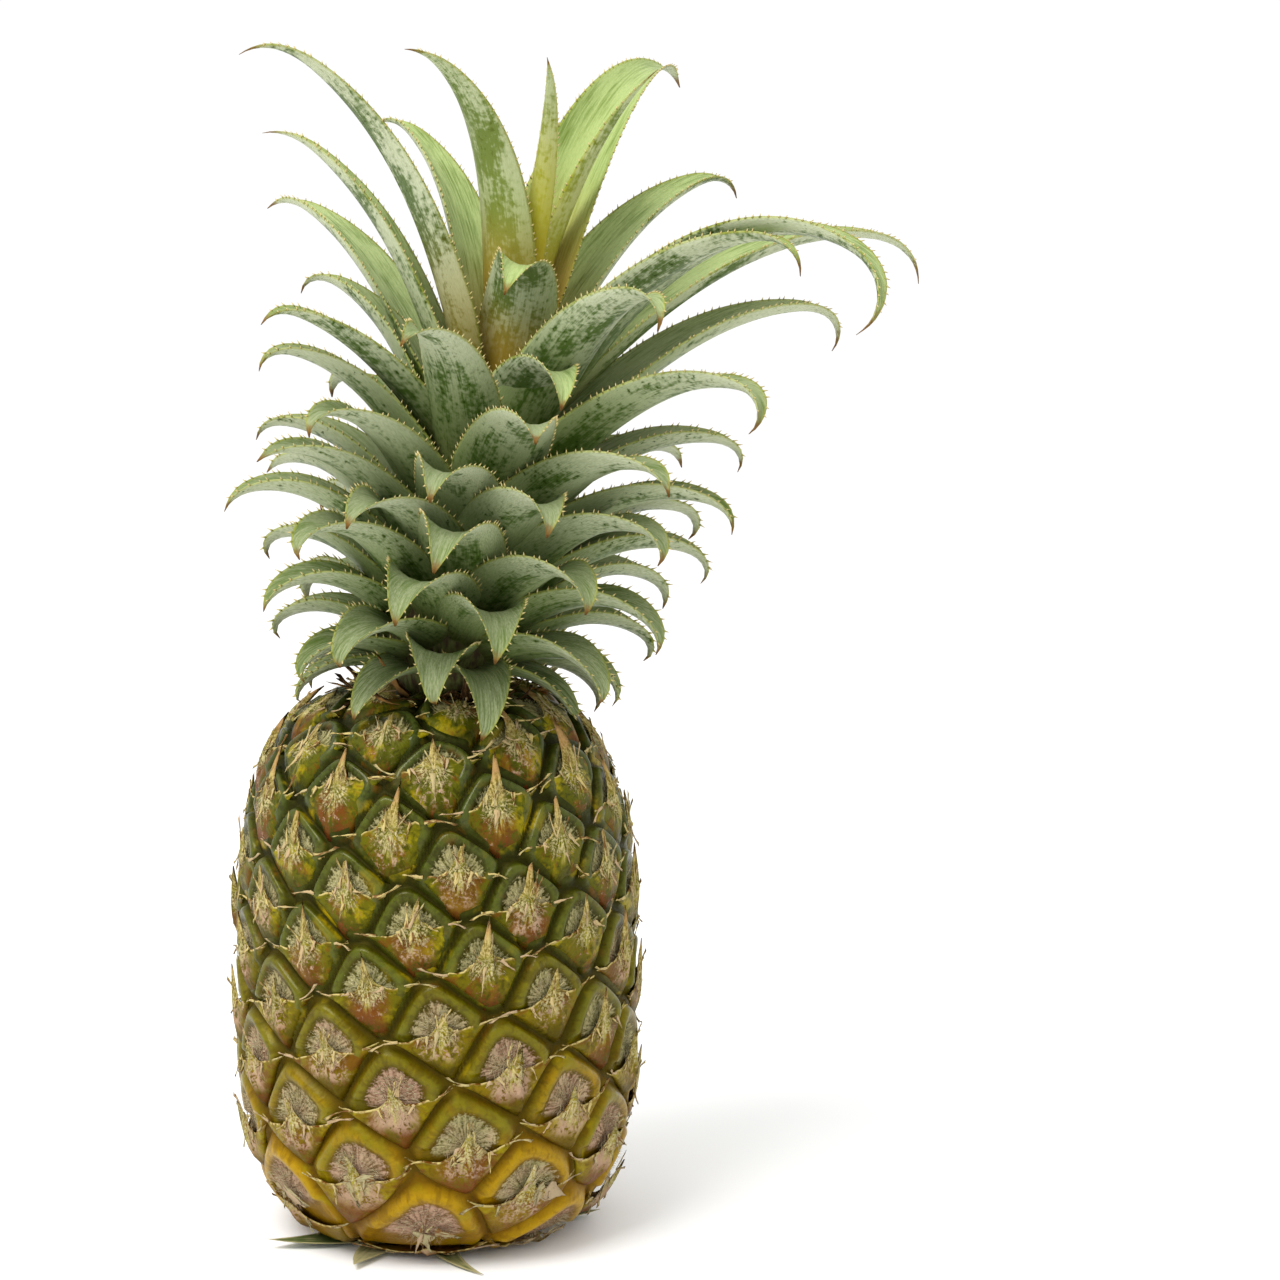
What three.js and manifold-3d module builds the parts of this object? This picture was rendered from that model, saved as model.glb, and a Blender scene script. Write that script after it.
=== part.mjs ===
// A whole pineapple standing on its cut base: the fruit with its spiral of eyes,
// the leafy crown that grows from its top, and the short cut stalk with its basal bracts.
// Millimetres, +Z up. The origin is the middle of the stalk's cut face, and -Y faces the viewer.
import * as THREE from "three";
import { ConvexHull } from "three/addons/math/ConvexHull.js";
import { mergeVertices } from "three/addons/utils/BufferGeometryUtils.js";
import Module from "manifold-3d";

const wasm = await Module();
wasm.setup();

// Driving dimensions of the fruit
const FRUIT_RADIUS = 57.5; // at the widest ring of eyes
const FRUIT_WIDEST = 68; // height of that ring
const FRUIT_ABOVE = { reach: 92, roundness: 3.3 }; // how far the form goes up, and how square it is
const FRUIT_BELOW = { reach: 72, roundness: 3.2 };
const FRUIT_UNDERSIDE = 2; // the fruit stands this far above the table, on its stalk
const STALK_SEAT = 5; // height of the hollow under the fruit that the stalk fills
const CROWN_SEAT = 157.5; // flat top that the crown stands on
const SEAT_RADIUS = 19; // of the flat top and of the hollow
const NODE_GAP = 0.3; // clearance between pieces that touch
const WELD_DISTANCE = 1e-4; // points closer than this are one

// The eyes: each covers one cell of a golden-angle spiral that starts under the crown
const GOLDEN_ANGLE = 137.48; // degrees from one eye to the next
const FIRST_EYE_TURN = 322.6; // degrees round from the front
const FIRST_EYE_SHARE = 0.21; // part of a cell skipped before the first eye
const EYE_AREA = 425; // square millimetres at the top
const EYE_AREA_GROWTH = 1.33; // the lowest eyes are larger by this share
const EYE_GROWTH_POWER = 3.4;
const SPIRAL_TOP = 158.5;
const SPIRAL_STEPS = 3000; // slices that the surface is measured in
const GLOBE_TOP = 1.6; // where the spiral starts on the globe that says which eyes are neighbours
const GROOVE_DEPTH = 2.6;
const EYE_RIM = { share: 0.22, lift: -0.4 }; // share of the way from the groove to the eye's middle
const EYE_DOME = { share: 0.68, lift: 0.5 };
const BRACT_SHELF_LIFT = 1.5; // the bract covers the lower half and stands prouder than the dome
const BRACT_TIP = { lift: 3.4, rise: 0.3 }; // its dry tip points up over the eye

// The crown: leaf 0 is the youngest, in the middle, and the last is the lowest
const LEAF_COUNT = 80;
const YOUNGEST_LEAF_TURN = -15; // degrees round from the front
const LEAF_ANGLE = -137.5; // degrees from one leaf to the next older one
const STEM_LENGTH = 92;
const STEM_RADIUS = [14, 18, 20, 20, 19, 17, 14, 9, 3]; // at even heights from its foot to its tip
const STEM_SIDES = 14;
const STEM_RINGS = 7;
const STEM_COLLAR = 5; // bare stem below the lowest leaf
const STEM_FOOT = 3; // the axis starts this far to the right of the fruit's
const STEM_LEAN = { slope: 0.12, bend: 0.00085 }; // how the axis drifts to the right as it rises
const LEAF_CROWDING = 1.75; // the lower leaves sit closer together on the stem
// Values for leaves from the youngest to the lowest, at even steps of age
const LEAF_LENGTH = [98, 108, 112, 92, 76, 72, 70, 68, 64, 57, 49, 42, 36];
const LEAF_WIDTH = [9, 18, 25, 28, 30, 31, 31, 31, 30, 28, 25, 21, 16];
const LEAF_START = [4, 13, 19, 28, 38, 40, 41, 40, 43, 50, 60, 72, 86]; // degrees from the stem's axis
const LEAF_END = [10, 72, 96, 104, 108, 114, 122, 132, 142, 152, 162, 172, 180];
// Share of its width that a leaf has, at even steps from root to tip
const LEAF_OUTLINE = [0.4, 0.78, 1, 0.98, 0.92, 0.82, 0.68, 0.5, 0.28, 0.05];
const LEAF_RECURVE = 2; // above 1 the bend gathers towards the tip
const LEAF_FOLD = { base: 75, middle: 55, tip: 60 }; // degrees that each half is curled up
const LEAF_THICKNESS = 1.6; // at the midrib
const LEAF_TIP_THICKNESS = 0.7;
const LEAF_WANDER = { length: 0.12, start: 5, end: 14, turn: 9, sway: 16 };
const LEAF_LEANWARD = { length: 9, start: -5 }; // leaves on the side that the stem leans to gain this
const LEAF_STEPS = 48; // steps that a leaf's curve is traced in
const LEAF_ROOT_SHARE = 0.7; // roots start this share of the stem's radius from its axis
const MIDRIB_SPACING = 17;
const MIDRIB_LEAST_STEPS = 4;
const SPINE = { spacing: 13, length: 1.7, base: 2.4, notch: 2.9, first: 0.16, last: 0.92 };
const SPINE_LEAST_COUNT = 2; // on each margin
const SHOULDER_CLEARANCE = 4.6; // leaves that droop over the fruit stay this far above its form

// Leaves that differ from the rule: index, and their own values
const LEAF_OWN_WAYS = new Map([
  [0, { turn: -11, length: 108, start: 15, end: 70, sway: 0 }],
  [1, { turn: -150, length: 70, start: 6, end: 20, sway: 0 }],
  [2, { turn: 70, length: 100, start: 0, end: 30, sway: 0, width: 13 }],
  [3, { turn: -44, length: 120, start: 16, end: 88, sway: 8, width: 25 }],
  [4, { turn: 162, length: 146, start: 0, end: 114, sway: -6, width: 26 }],
  [5, { turn: -6, length: 72, start: 10, end: 150, sway: 0, width: 26 }],
  [6, { turn: -130, length: 106, start: 24, end: 84, sway: 0, width: 25 }],
  [7, { turn: 126, length: 110, start: 15, end: 80, sway: 4, width: 26 }],
  [8, { turn: -74, length: 134, start: 26, end: 84, sway: 10, width: 26 }],
  [9, { turn: -172, length: 80, start: 12, end: 50, sway: 0 }],
  [10, { turn: 52, length: 122, start: 27, end: 96, sway: 0 }],
  [11, { turn: -94, length: 108, start: 30, end: 77, sway: -5 }],
  [12, { turn: 110, length: 152, start: 31, end: 105, sway: 3 }],
  [13, { turn: 20, length: 62, start: 26, end: 150, sway: 0 }],
  [14, { turn: -124, length: 116, start: 43, end: 94, sway: -12 }],
  [15, { turn: 62, length: 170, start: 21, end: 150, sway: -26 }],
  [16, { turn: -64, length: 78, start: 48, end: 95, sway: 8 }],
  [19, { turn: -104, length: 78, start: 28, end: 92, sway: 0 }],
  [20, { turn: 110, length: 128, start: 33, end: 100, sway: 12 }],
  [23, { turn: 56, length: 112, start: 37, end: 114, sway: -24 }],
]);

// The stalk and the bracts left on it
const STALK_RADIUS = 15;
const STALK_SIDES = 16;
const BRACT_COUNT = 9;
const FIRST_BRACT_TURN = -50; // degrees round from the front
const BRACT_REACH = [34, 50]; // shortest and longest, from the stalk's axis
const BRACT_WIDTH = 13;
const BRACT_THICKNESS = 1.1;
const BRACT_FOLD = 0.5; // degrees: pressed almost flat
const BRACT_FLOOR = 0.05; // its underside lies this far above the table

const FRUIT_CENTRE = new THREE.Vector3(0, 0, FRUIT_WIDEST);
const UP = new THREE.Vector3(0, 0, 1);

// Even spread of numbers from 0 to 1 that is the same on every run
function scatter(index, salt) {
  const x = Math.sin(index * 12.9898 + salt * 78.233) * 43758.5453;
  return x - Math.floor(x);
}

// Smooth way through a list of values, at share 0 to 1 of its length
function along(values, share) {
  const place = THREE.MathUtils.clamp(share, 0, 1) * (values.length - 1);
  const low = Math.min(Math.floor(place), values.length - 2);
  return THREE.MathUtils.lerp(values[low], values[low + 1], place - low);
}

// Unit vector that points out level, so many degrees round from the front
function bearing(degrees) {
  const angle = THREE.MathUtils.degToRad(degrees);
  return new THREE.Vector3(Math.sin(angle), -Math.cos(angle), 0);
}

function toSolid(geometry) {
  const bare = geometry.clone();
  bare.deleteAttribute("normal");
  bare.deleteAttribute("uv");
  const merged = mergeVertices(bare, WELD_DISTANCE);
  const vertProperties = new Float32Array(merged.attributes.position.array);
  const triVerts = new Uint32Array(merged.index.array);
  return new wasm.Manifold(new wasm.Mesh({ numProp: 3, vertProperties, triVerts }));
}

// The joined body as a geometry, without sealed hollows or loose scraps
function toGeometry(solid) {
  const bodies = solid.decompose();
  const largest = bodies.reduce((a, b) => (b.volume() > a.volume() ? b : a));
  const mesh = largest.getMesh();
  const geometry = new THREE.BufferGeometry();
  geometry.setAttribute("position", new THREE.BufferAttribute(mesh.vertProperties, mesh.numProp));
  geometry.setIndex(new THREE.BufferAttribute(mesh.triVerts, 1));
  geometry.computeVertexNormals();
  return geometry;
}

function indexedGeometry(points, triangles) {
  const geometry = new THREE.BufferGeometry().setFromPoints(points);
  geometry.setIndex(triangles);
  geometry.computeVertexNormals();
  return geometry;
}

// Fruit: a rounded form whose surface is one eye beside another

// Distance from the fruit's centre to its surface, in a direction
function fruitReach(direction) {
  const { reach, roundness } = direction.z > 0 ? FRUIT_ABOVE : FRUIT_BELOW;
  const level = Math.hypot(direction.x, direction.y) / FRUIT_RADIUS;
  const upright = Math.abs(direction.z) / reach;
  return (level ** roundness + upright ** roundness) ** (-1 / roundness);
}

// The point at a lift above the surface, over a point inside or near the fruit
function onFruit(point, lift) {
  const direction = point.clone().sub(FRUIT_CENTRE).normalize();
  const placed = direction.multiplyScalar(fruitReach(direction) + lift).add(FRUIT_CENTRE);
  placed.z = Math.max(placed.z, FRUIT_UNDERSIDE);
  return placed;
}

// Height of the fruit's form over a distance from its axis
function fruitTopOver(radius) {
  const share = Math.min(radius / FRUIT_RADIUS, 1) ** FRUIT_ABOVE.roundness;
  return FRUIT_WIDEST + FRUIT_ABOVE.reach * (1 - share) ** (1 / FRUIT_ABOVE.roundness);
}

function fruitRadiusAt(z) {
  const { reach, roundness } = z > FRUIT_WIDEST ? FRUIT_ABOVE : FRUIT_BELOW;
  const share = (Math.abs(z - FRUIT_WIDEST) / reach) ** roundness;
  return FRUIT_RADIUS * Math.max(1 - share, 0) ** (1 / roundness);
}

// Middles of the eyes, from the crown down: a new eye each time the surface passed covers one more cell.
// Each eye also gets a place on a globe that keeps the angles of the fruit's surface.
function eyeMiddles() {
  const eyes = [];
  const step = (SPIRAL_TOP - FRUIT_UNDERSIDE) / SPIRAL_STEPS;
  let covered = 1 - FIRST_EYE_SHARE;
  let latitude = GLOBE_TOP;
  for (let i = 0; i < SPIRAL_STEPS; i++) {
    const z = SPIRAL_TOP - i * step;
    const radius = fruitRadiusAt(z);
    const slope = (fruitRadiusAt(z - step) - radius) / step;
    const depth = (SPIRAL_TOP - z) / (SPIRAL_TOP - FRUIT_UNDERSIDE);
    const cell = EYE_AREA * (1 + EYE_AREA_GROWTH * depth ** EYE_GROWTH_POWER);
    const passed = step * Math.hypot(1, slope);
    covered += (2 * Math.PI * radius * passed) / cell;
    latitude -= passed / radius;
    if (covered >= 1) {
      covered -= 1;
      const turn = bearing(FIRST_EYE_TURN + eyes.length * GOLDEN_ANGLE);
      const globe = turn.clone().divideScalar(Math.cosh(latitude)).setZ(Math.tanh(latitude));
      eyes.push({ middle: turn.multiplyScalar(radius).setZ(z), globe });
    }
  }
  return eyes;
}

// Round cut for the foot of the crown or the end of the stalk
function seatCut(bottom, top) {
  const height = top - bottom;
  const cut = new THREE.CylinderGeometry(SEAT_RADIUS, SEAT_RADIUS, height, STALK_SIDES);
  return toSolid(cut.rotateX(Math.PI / 2).translate(0, 0, bottom + height / 2));
}

// The rind: the hull of the globe says which eyes are neighbours. Three neighbours meet in a corner
// of the groove, and each eye's plate is drawn from its ring of corners up to its bract's tip.
function fruitGeometry() {
  const top = { middle: new THREE.Vector3(0, 0, SPIRAL_TOP), globe: UP };
  const bottom = { middle: new THREE.Vector3(0, 0, FRUIT_UNDERSIDE), globe: UP.clone().negate() };
  const eyes = [...eyeMiddles(), top, bottom];
  const sites = eyes.map((eye) => eye.middle);
  const siteOf = new Map(eyes.map((eye, i) => [eye.globe, i]));
  const points = [];
  const triangles = [];
  const cornersOf = sites.map(() => []);

  for (const face of new ConvexHull().setFromPoints([...siteOf.keys()]).faces) {
    const trio = [face.edge, face.edge.next, face.edge.prev].map((edge) => siteOf.get(edge.head().point));
    const sum = trio.reduce((total, i) => total.add(sites[i]), new THREE.Vector3());
    points.push(onFruit(sum.divideScalar(trio.length), -GROOVE_DEPTH));
    trio.forEach((i) => cornersOf[i].push(points.length - 1));
  }

  const addRing = (ring) => ring.map((p) => points.push(p) - 1);
  const joinRings = (outer, inner) =>
    outer.forEach((a, k) => {
      const next = (k + 1) % outer.length;
      triangles.push(a, outer[next], inner[next], a, inner[next], inner[k]);
    });
  const closeRing = (ring, tip) =>
    ring.forEach((a, k) => triangles.push(a, ring[(k + 1) % ring.length], tip));

  sites.forEach((site, i) => {
    const out = site.clone().sub(FRUIT_CENTRE).normalize();
    const right = new THREE.Vector3().crossVectors(UP, out).normalize();
    if (right.lengthSq() === 0) right.set(1, 0, 0);
    const rise = new THREE.Vector3().crossVectors(out, right);
    const angleOf = (c) => {
      const away = points[c].clone().sub(site);
      return Math.atan2(away.dot(rise), away.dot(right));
    };
    const corners = cornersOf[i].sort((a, b) => angleOf(a) - angleOf(b));
    const rim = corners.map((c) => onFruit(points[c].clone().lerp(site, EYE_RIM.share), EYE_RIM.lift));
    const dome = corners.map((c) => {
      const lift = points[c].clone().sub(site).dot(rise) > 0 ? EYE_DOME.lift : BRACT_SHELF_LIFT;
      return onFruit(points[c].clone().lerp(site, EYE_DOME.share), lift);
    });
    const size = corners.reduce((sum, c) => sum + points[c].distanceTo(site), 0) / corners.length;
    const tip = onFruit(site.clone().addScaledVector(rise, BRACT_TIP.rise * size), BRACT_TIP.lift);
    const rimRing = addRing(rim);
    const domeRing = addRing(dome);
    joinRings(corners, rimRing);
    joinRings(rimRing, domeRing);
    closeRing(domeRing, points.push(tip) - 1);
  });
  const rind = toSolid(indexedGeometry(points, triangles));
  const crownSeat = seatCut(CROWN_SEAT, CROWN_SEAT + SEAT_RADIUS);
  return toGeometry(rind.subtract(crownSeat).subtract(seatCut(0, STALK_SEAT)));
}

// Blades: thin leaves with a midrib, a folded section and spines along both margins

// Triangles between the midrib and one margin, both listed from root to tip with their shares of the length
function fillHalf(midrib, margin, facing) {
  const triangles = [];
  let m = 0;
  let e = 0;
  while (m < midrib.length - 1 || e < margin.length - 1) {
    const nextMid = m < midrib.length - 1 ? midrib[m + 1].share : Infinity;
    const nextEdge = e < margin.length - 1 ? margin[e + 1].share : Infinity;
    const a = midrib[m].id;
    const b = margin[e].id;
    const c = nextEdge <= nextMid ? margin[++e].id : midrib[++m].id;
    if (a === c || b === c) continue;
    triangles.push(...(facing ? [a, b, c] : [a, c, b]));
  }
  return triangles;
}

// Shares of a leaf's length where its margin turns, with how far it stands out there
function marginTurns(length) {
  const turns = [{ share: 0, out: 0 }];
  const room = (SPINE.last - SPINE.first) * length;
  const count = Math.max(Math.round(room / SPINE.spacing), SPINE_LEAST_COUNT);
  for (let i = 0; i < count; i++) {
    const share = THREE.MathUtils.lerp(SPINE.first, SPINE.last, (i + 0.5) / count);
    turns.push({ share, out: 0 });
    turns.push({ share: share + SPINE.base / length, out: SPINE.length });
    turns.push({ share: share + SPINE.notch / length, out: 0 });
  }
  return turns;
}

// One closed blade. frameAt(share) gives its centre line's point, side and face directions
function bladeGeometry({ length, frameAt, halfWidthAt, foldAt, thicknessAt }) {
  const points = [];
  const addPoint = (p) => points.push(p) - 1;
  const tip = { share: 1, id: addPoint(frameAt(1).point) };
  const steps = Math.max(Math.round(length / MIDRIB_SPACING), MIDRIB_LEAST_STEPS);
  const midrib = (way) => {
    const row = [];
    for (let i = 0; i < steps; i++) {
      const share = i / steps;
      const { point, face } = frameAt(share);
      const lift = (way * thicknessAt(share)) / 2;
      row.push({ share, id: addPoint(point.clone().addScaledVector(face, lift)) });
    }
    return [...row, tip];
  };
  const margin = (way) => {
    const row = marginTurns(length).map(({ share, out }) => {
      const { point, side, face } = frameAt(share);
      const fold = foldAt(share);
      const half = halfWidthAt(share) + out;
      const edge = point.clone().addScaledVector(side, (way * half * Math.sin(fold)) / fold);
      return { share, id: addPoint(edge.addScaledVector(face, (half * (1 - Math.cos(fold))) / fold)) };
    });
    return [...row, tip];
  };
  const upper = midrib(1);
  const lower = midrib(-1);
  const right = margin(1);
  const left = margin(-1);
  const triangles = [
    ...fillHalf(upper, right, false),
    ...fillHalf(upper, left, true),
    ...fillHalf(lower, right, true),
    ...fillHalf(lower, left, false),
    ...[upper[0].id, right[0].id, lower[0].id],
    ...[upper[0].id, lower[0].id, left[0].id],
  ];
  return indexedGeometry(points, triangles);
}

// Crown: a leaning, tapered stem with leaves in a spiral

function stemRadiusAt(height) {
  return along(STEM_RADIUS, height / STEM_LENGTH);
}

function stemAxisAt(height) {
  const drift = STEM_FOOT + STEM_LEAN.slope * height + STEM_LEAN.bend * height ** 2;
  return new THREE.Vector3(drift, 0, CROWN_SEAT + NODE_GAP + height);
}

function stemGeometry() {
  const profile = [new THREE.Vector2(0, 0)];
  for (let i = 0; i <= STEM_RINGS; i++) {
    const height = (i / STEM_RINGS) * STEM_LENGTH;
    profile.push(new THREE.Vector2(stemRadiusAt(height), height));
  }
  profile.push(new THREE.Vector2(0, STEM_LENGTH));
  const geometry = new THREE.LatheGeometry(profile, STEM_SIDES).rotateX(Math.PI / 2);
  const position = geometry.attributes.position;
  for (let i = 0; i < position.count; i++) {
    const axis = stemAxisAt(position.getZ(i));
    position.setXYZ(i, position.getX(i) + axis.x, position.getY(i) + axis.y, axis.z);
  }
  return geometry;
}

// What one leaf is like: the rule for its age with a little wander, or its own ways
function leafTraits(index) {
  const age = index / (LEAF_COUNT - 1);
  const wander = (salt) => (scatter(index, salt) * 2 - 1) * age;
  const turn = YOUNGEST_LEAF_TURN + index * LEAF_ANGLE + LEAF_WANDER.turn * wander(1);
  const leanward = bearing(turn).x * (1 - age);
  const longer = LEAF_LEANWARD.length * leanward;
  return {
    height: STEM_COLLAR + (STEM_LENGTH - STEM_COLLAR) * (1 - age) ** LEAF_CROWDING,
    width: along(LEAF_WIDTH, age),
    turn,
    length: along(LEAF_LENGTH, age) * (1 + LEAF_WANDER.length * wander(2)) + longer,
    start: along(LEAF_START, age) + LEAF_WANDER.start * wander(3) + LEAF_LEANWARD.start * leanward,
    end: along(LEAF_END, age) + LEAF_WANDER.end * wander(4),
    sway: LEAF_WANDER.sway * wander(5),
    ...LEAF_OWN_WAYS.get(index),
  };
}

// Traces a leaf's centre line: it leaves the stem at its start angle and bends over to its end angle
function traceLeaf({ height, turn, length, start, end, sway }) {
  const foot = stemAxisAt(height);
  const axis = stemAxisAt(height + 1).sub(foot).normalize();
  const outward = bearing(turn);
  outward.addScaledVector(axis, -outward.dot(axis)).normalize();
  const across = new THREE.Vector3().crossVectors(axis, outward);
  const point = foot.addScaledVector(outward, stemRadiusAt(height) * LEAF_ROOT_SHARE);
  const frames = [];
  for (let i = 0; i <= LEAF_STEPS; i++) {
    const share = i / LEAF_STEPS;
    const lean = THREE.MathUtils.degToRad(THREE.MathUtils.lerp(start, end, share ** LEAF_RECURVE));
    const drift = THREE.MathUtils.degToRad(sway) * share ** 2;
    const forward = outward.clone().multiplyScalar(Math.sin(lean)).addScaledVector(axis, Math.cos(lean));
    const face = new THREE.Vector3().crossVectors(forward, across);
    const side = across.clone().applyAxisAngle(face, drift);
    frames.push({ point: point.clone(), side, face });
    point.addScaledVector(forward.applyAxisAngle(face, drift), length / LEAF_STEPS);
    point.z = Math.max(point.z, fruitTopOver(Math.hypot(point.x, point.y)) + SHOULDER_CLEARANCE);
  }
  return frames;
}

// A point between the traced ones
function leafFrameAt(frames, share) {
  const place = Math.min(share, 1) * LEAF_STEPS;
  const low = Math.min(Math.floor(place), LEAF_STEPS - 1);
  const point = frames[low].point.clone().lerp(frames[low + 1].point, place - low);
  return { point, side: frames[low].side, face: frames[low].face };
}

function leafGeometry(index) {
  const traits = leafTraits(index);
  const frames = traceLeaf(traits);
  const folds = [LEAF_FOLD.base, LEAF_FOLD.middle, LEAF_FOLD.middle, LEAF_FOLD.tip];
  return bladeGeometry({
    length: traits.length,
    frameAt: (share) => leafFrameAt(frames, share),
    halfWidthAt: (share) => (traits.width / 2) * along(LEAF_OUTLINE, share),
    foldAt: (share) => THREE.MathUtils.degToRad(along(folds, share)),
    thicknessAt: (share) => THREE.MathUtils.lerp(LEAF_THICKNESS, LEAF_TIP_THICKNESS, share),
  });
}

function crownGeometry() {
  const leaves = Array.from({ length: LEAF_COUNT }, (_, index) => toSolid(leafGeometry(index)));
  return toGeometry(wasm.Manifold.union([toSolid(stemGeometry()), ...leaves]));
}

// Stalk: the cut end that the fruit stands on, with bracts pressed flat under the fruit

function bractGeometry(index) {
  const outward = bearing(FIRST_BRACT_TURN + index * GOLDEN_ANGLE);
  const across = new THREE.Vector3().crossVectors(UP, outward);
  const reach = THREE.MathUtils.lerp(BRACT_REACH[0], BRACT_REACH[1], scatter(index, 6));
  const root = STALK_RADIUS * LEAF_ROOT_SHARE;
  const length = reach - root;
  const middleHeight = BRACT_FLOOR + BRACT_THICKNESS / 2;
  return bladeGeometry({
    length,
    frameAt: (share) => ({
      point: outward.clone().multiplyScalar(root + share * length).setZ(middleHeight),
      side: across,
      face: UP,
    }),
    halfWidthAt: (share) => (BRACT_WIDTH / 2) * along(LEAF_OUTLINE, share),
    foldAt: () => THREE.MathUtils.degToRad(BRACT_FOLD),
    thicknessAt: () => BRACT_THICKNESS,
  });
}

function stalkGeometry() {
  const height = STALK_SEAT - NODE_GAP;
  const stub = new THREE.CylinderGeometry(STALK_RADIUS, STALK_RADIUS, height, STALK_SIDES);
  const cutEnd = toSolid(stub.rotateX(Math.PI / 2).translate(0, 0, height / 2));
  const bracts = Array.from({ length: BRACT_COUNT }, (_, index) => toSolid(bractGeometry(index)));
  return toGeometry(wasm.Manifold.union([cutEnd, ...bracts]));
}

// Assembly
function piece(name, geometry, color, roughness) {
  const mesh = new THREE.Mesh(geometry, new THREE.MeshStandardMaterial({ color, roughness, metalness: 0 }));
  mesh.name = name;
  return mesh;
}

const pineapple = new THREE.Group();
pineapple.add(
  piece("fruit", fruitGeometry(), 0x7c7424, 0.55),
  piece("crown", crownGeometry(), 0x7d9870, 0.6),
  piece("stalk", stalkGeometry(), 0x8a7f52, 0.8),
);
export default pineapple;
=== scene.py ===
# A whole ripe pineapple in its looks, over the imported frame: the rind with its bracts and hairs,
# the cut stalk, and the leafy crown. Lengths are in millimetres until a piece is finished,
# when its mesh is brought to metres. Turns are degrees round from the front, which faces -Y.
import math

import bmesh
import bpy
import numpy as np
from mathutils import Matrix, Quaternion, Vector


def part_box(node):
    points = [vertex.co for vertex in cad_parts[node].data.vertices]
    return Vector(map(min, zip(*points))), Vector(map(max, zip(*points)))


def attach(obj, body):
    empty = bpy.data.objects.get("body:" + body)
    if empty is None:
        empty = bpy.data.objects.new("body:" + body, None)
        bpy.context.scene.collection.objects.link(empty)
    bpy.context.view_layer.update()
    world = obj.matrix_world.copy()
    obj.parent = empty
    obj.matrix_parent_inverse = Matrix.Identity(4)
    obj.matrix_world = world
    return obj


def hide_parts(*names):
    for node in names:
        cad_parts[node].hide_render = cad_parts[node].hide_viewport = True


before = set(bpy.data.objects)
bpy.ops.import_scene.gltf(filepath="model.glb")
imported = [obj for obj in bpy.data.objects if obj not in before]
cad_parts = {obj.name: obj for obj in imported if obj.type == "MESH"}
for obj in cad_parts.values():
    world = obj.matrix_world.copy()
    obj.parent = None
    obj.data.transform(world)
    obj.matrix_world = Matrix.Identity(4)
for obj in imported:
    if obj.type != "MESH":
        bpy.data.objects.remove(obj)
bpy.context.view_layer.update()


# Rind
# The waxy skin of about a hundred berries that grew together, each an eye of the fruit.
# A golden-angle spiral lays the eyes side by side, with a deep groove between them. The upper half
# of each is a smooth arch round a fuzzy hollow, and the lower half is the seat of its bract.

MILLIMETRE = 0.001
FRUIT_RADIUS = 57.5
FRUIT_WIDEST = 68
FRUIT_ABOVE = {"reach": 92, "roundness": 3.3}
FRUIT_BELOW = {"reach": 72, "roundness": 3.2}
FRUIT_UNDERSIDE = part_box("fruit")[0].z / MILLIMETRE
STALK_SEAT = 5
CROWN_SEAT = 157.5
SEAT_RADIUS = 19
FLAT_RADIUS = 40
RIND_STEPS = 400
RIND_ROWS = 232
OUTLINE_SAMPLES = 4000
MERGE_DISTANCE = 1e-4
SEAT_MARGIN = 1e-3

GOLDEN_ANGLE = 137.48
FIRST_EYE_TURN = 322.6
FIRST_EYE_SHARE = 0.21
EYE_AREA = 425
EYE_AREA_GROWTH = 1.33
EYE_GROWTH_POWER = 3.4
SPIRAL_TOP = 158.5
SPIRAL_STEPS = 3000
EYE_NEIGHBOURS = 6

GROOVE = {"depth": 1.2, "reach": 1.4, "rounding": 0.4}
VALLEY = {"depth": 0.9, "reach": 1.9}
ARCH = {"inset": 2.3, "spread": 1.3, "lift": 1.0, "rounding": 1.4}
DISH = {"edge": 3.5, "slope": 1.6, "depth": 0.9}
SHELF = {"height": -3.0, "slope": 2.0}
SEAT_LIFT = -0.9

FRUIT_CENTRE = np.array([0, 0, FRUIT_WIDEST])
UP = np.array([0.0, 0.0, 1.0])
SCATTER = {"step": 12.9898, "salt": 78.233, "gain": 43758.5453}


def scatter(index, salt):
    """An even spread of numbers from 0 to 1 that is the same on every run."""
    x = np.sin(index * SCATTER["step"] + salt * SCATTER["salt"]) * SCATTER["gain"]
    return x - np.floor(x)


def smooth(x):
    """Eases from 0 to 1 as x does."""
    x = np.clip(x, 0, 1)
    return x * x * (3 - 2 * x)


def bearing(turn):
    """The level direction that is so many degrees round from the front."""
    angle = math.radians(turn)
    return np.array([math.sin(angle), -math.cos(angle), 0.0])


def on_fruit(points, lift):
    """The points at a lift above the fruit's form, over points in or near it."""
    away = points - FRUIT_CENTRE
    away = away / np.linalg.norm(away, axis=-1, keepdims=True)
    above = away[..., 2] > 0
    reach = np.where(above, FRUIT_ABOVE["reach"], FRUIT_BELOW["reach"])
    roundness = np.where(above, FRUIT_ABOVE["roundness"], FRUIT_BELOW["roundness"])
    level = np.hypot(away[..., 0], away[..., 1]) / FRUIT_RADIUS
    upright = np.abs(away[..., 2]) / reach
    form = (level**roundness + upright**roundness) ** (-1 / roundness)
    placed = FRUIT_CENTRE + away * (form + lift)[..., None]
    placed[..., 2] = np.maximum(placed[..., 2], FRUIT_UNDERSIDE)
    return placed


def fruit_radius(z):
    """Half of the fruit's width at a height."""
    half = FRUIT_ABOVE if z > FRUIT_WIDEST else FRUIT_BELOW
    share = (abs(z - FRUIT_WIDEST) / half["reach"]) ** half["roundness"]
    return FRUIT_RADIUS * max(1 - share, 0) ** (1 / half["roundness"])


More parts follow.
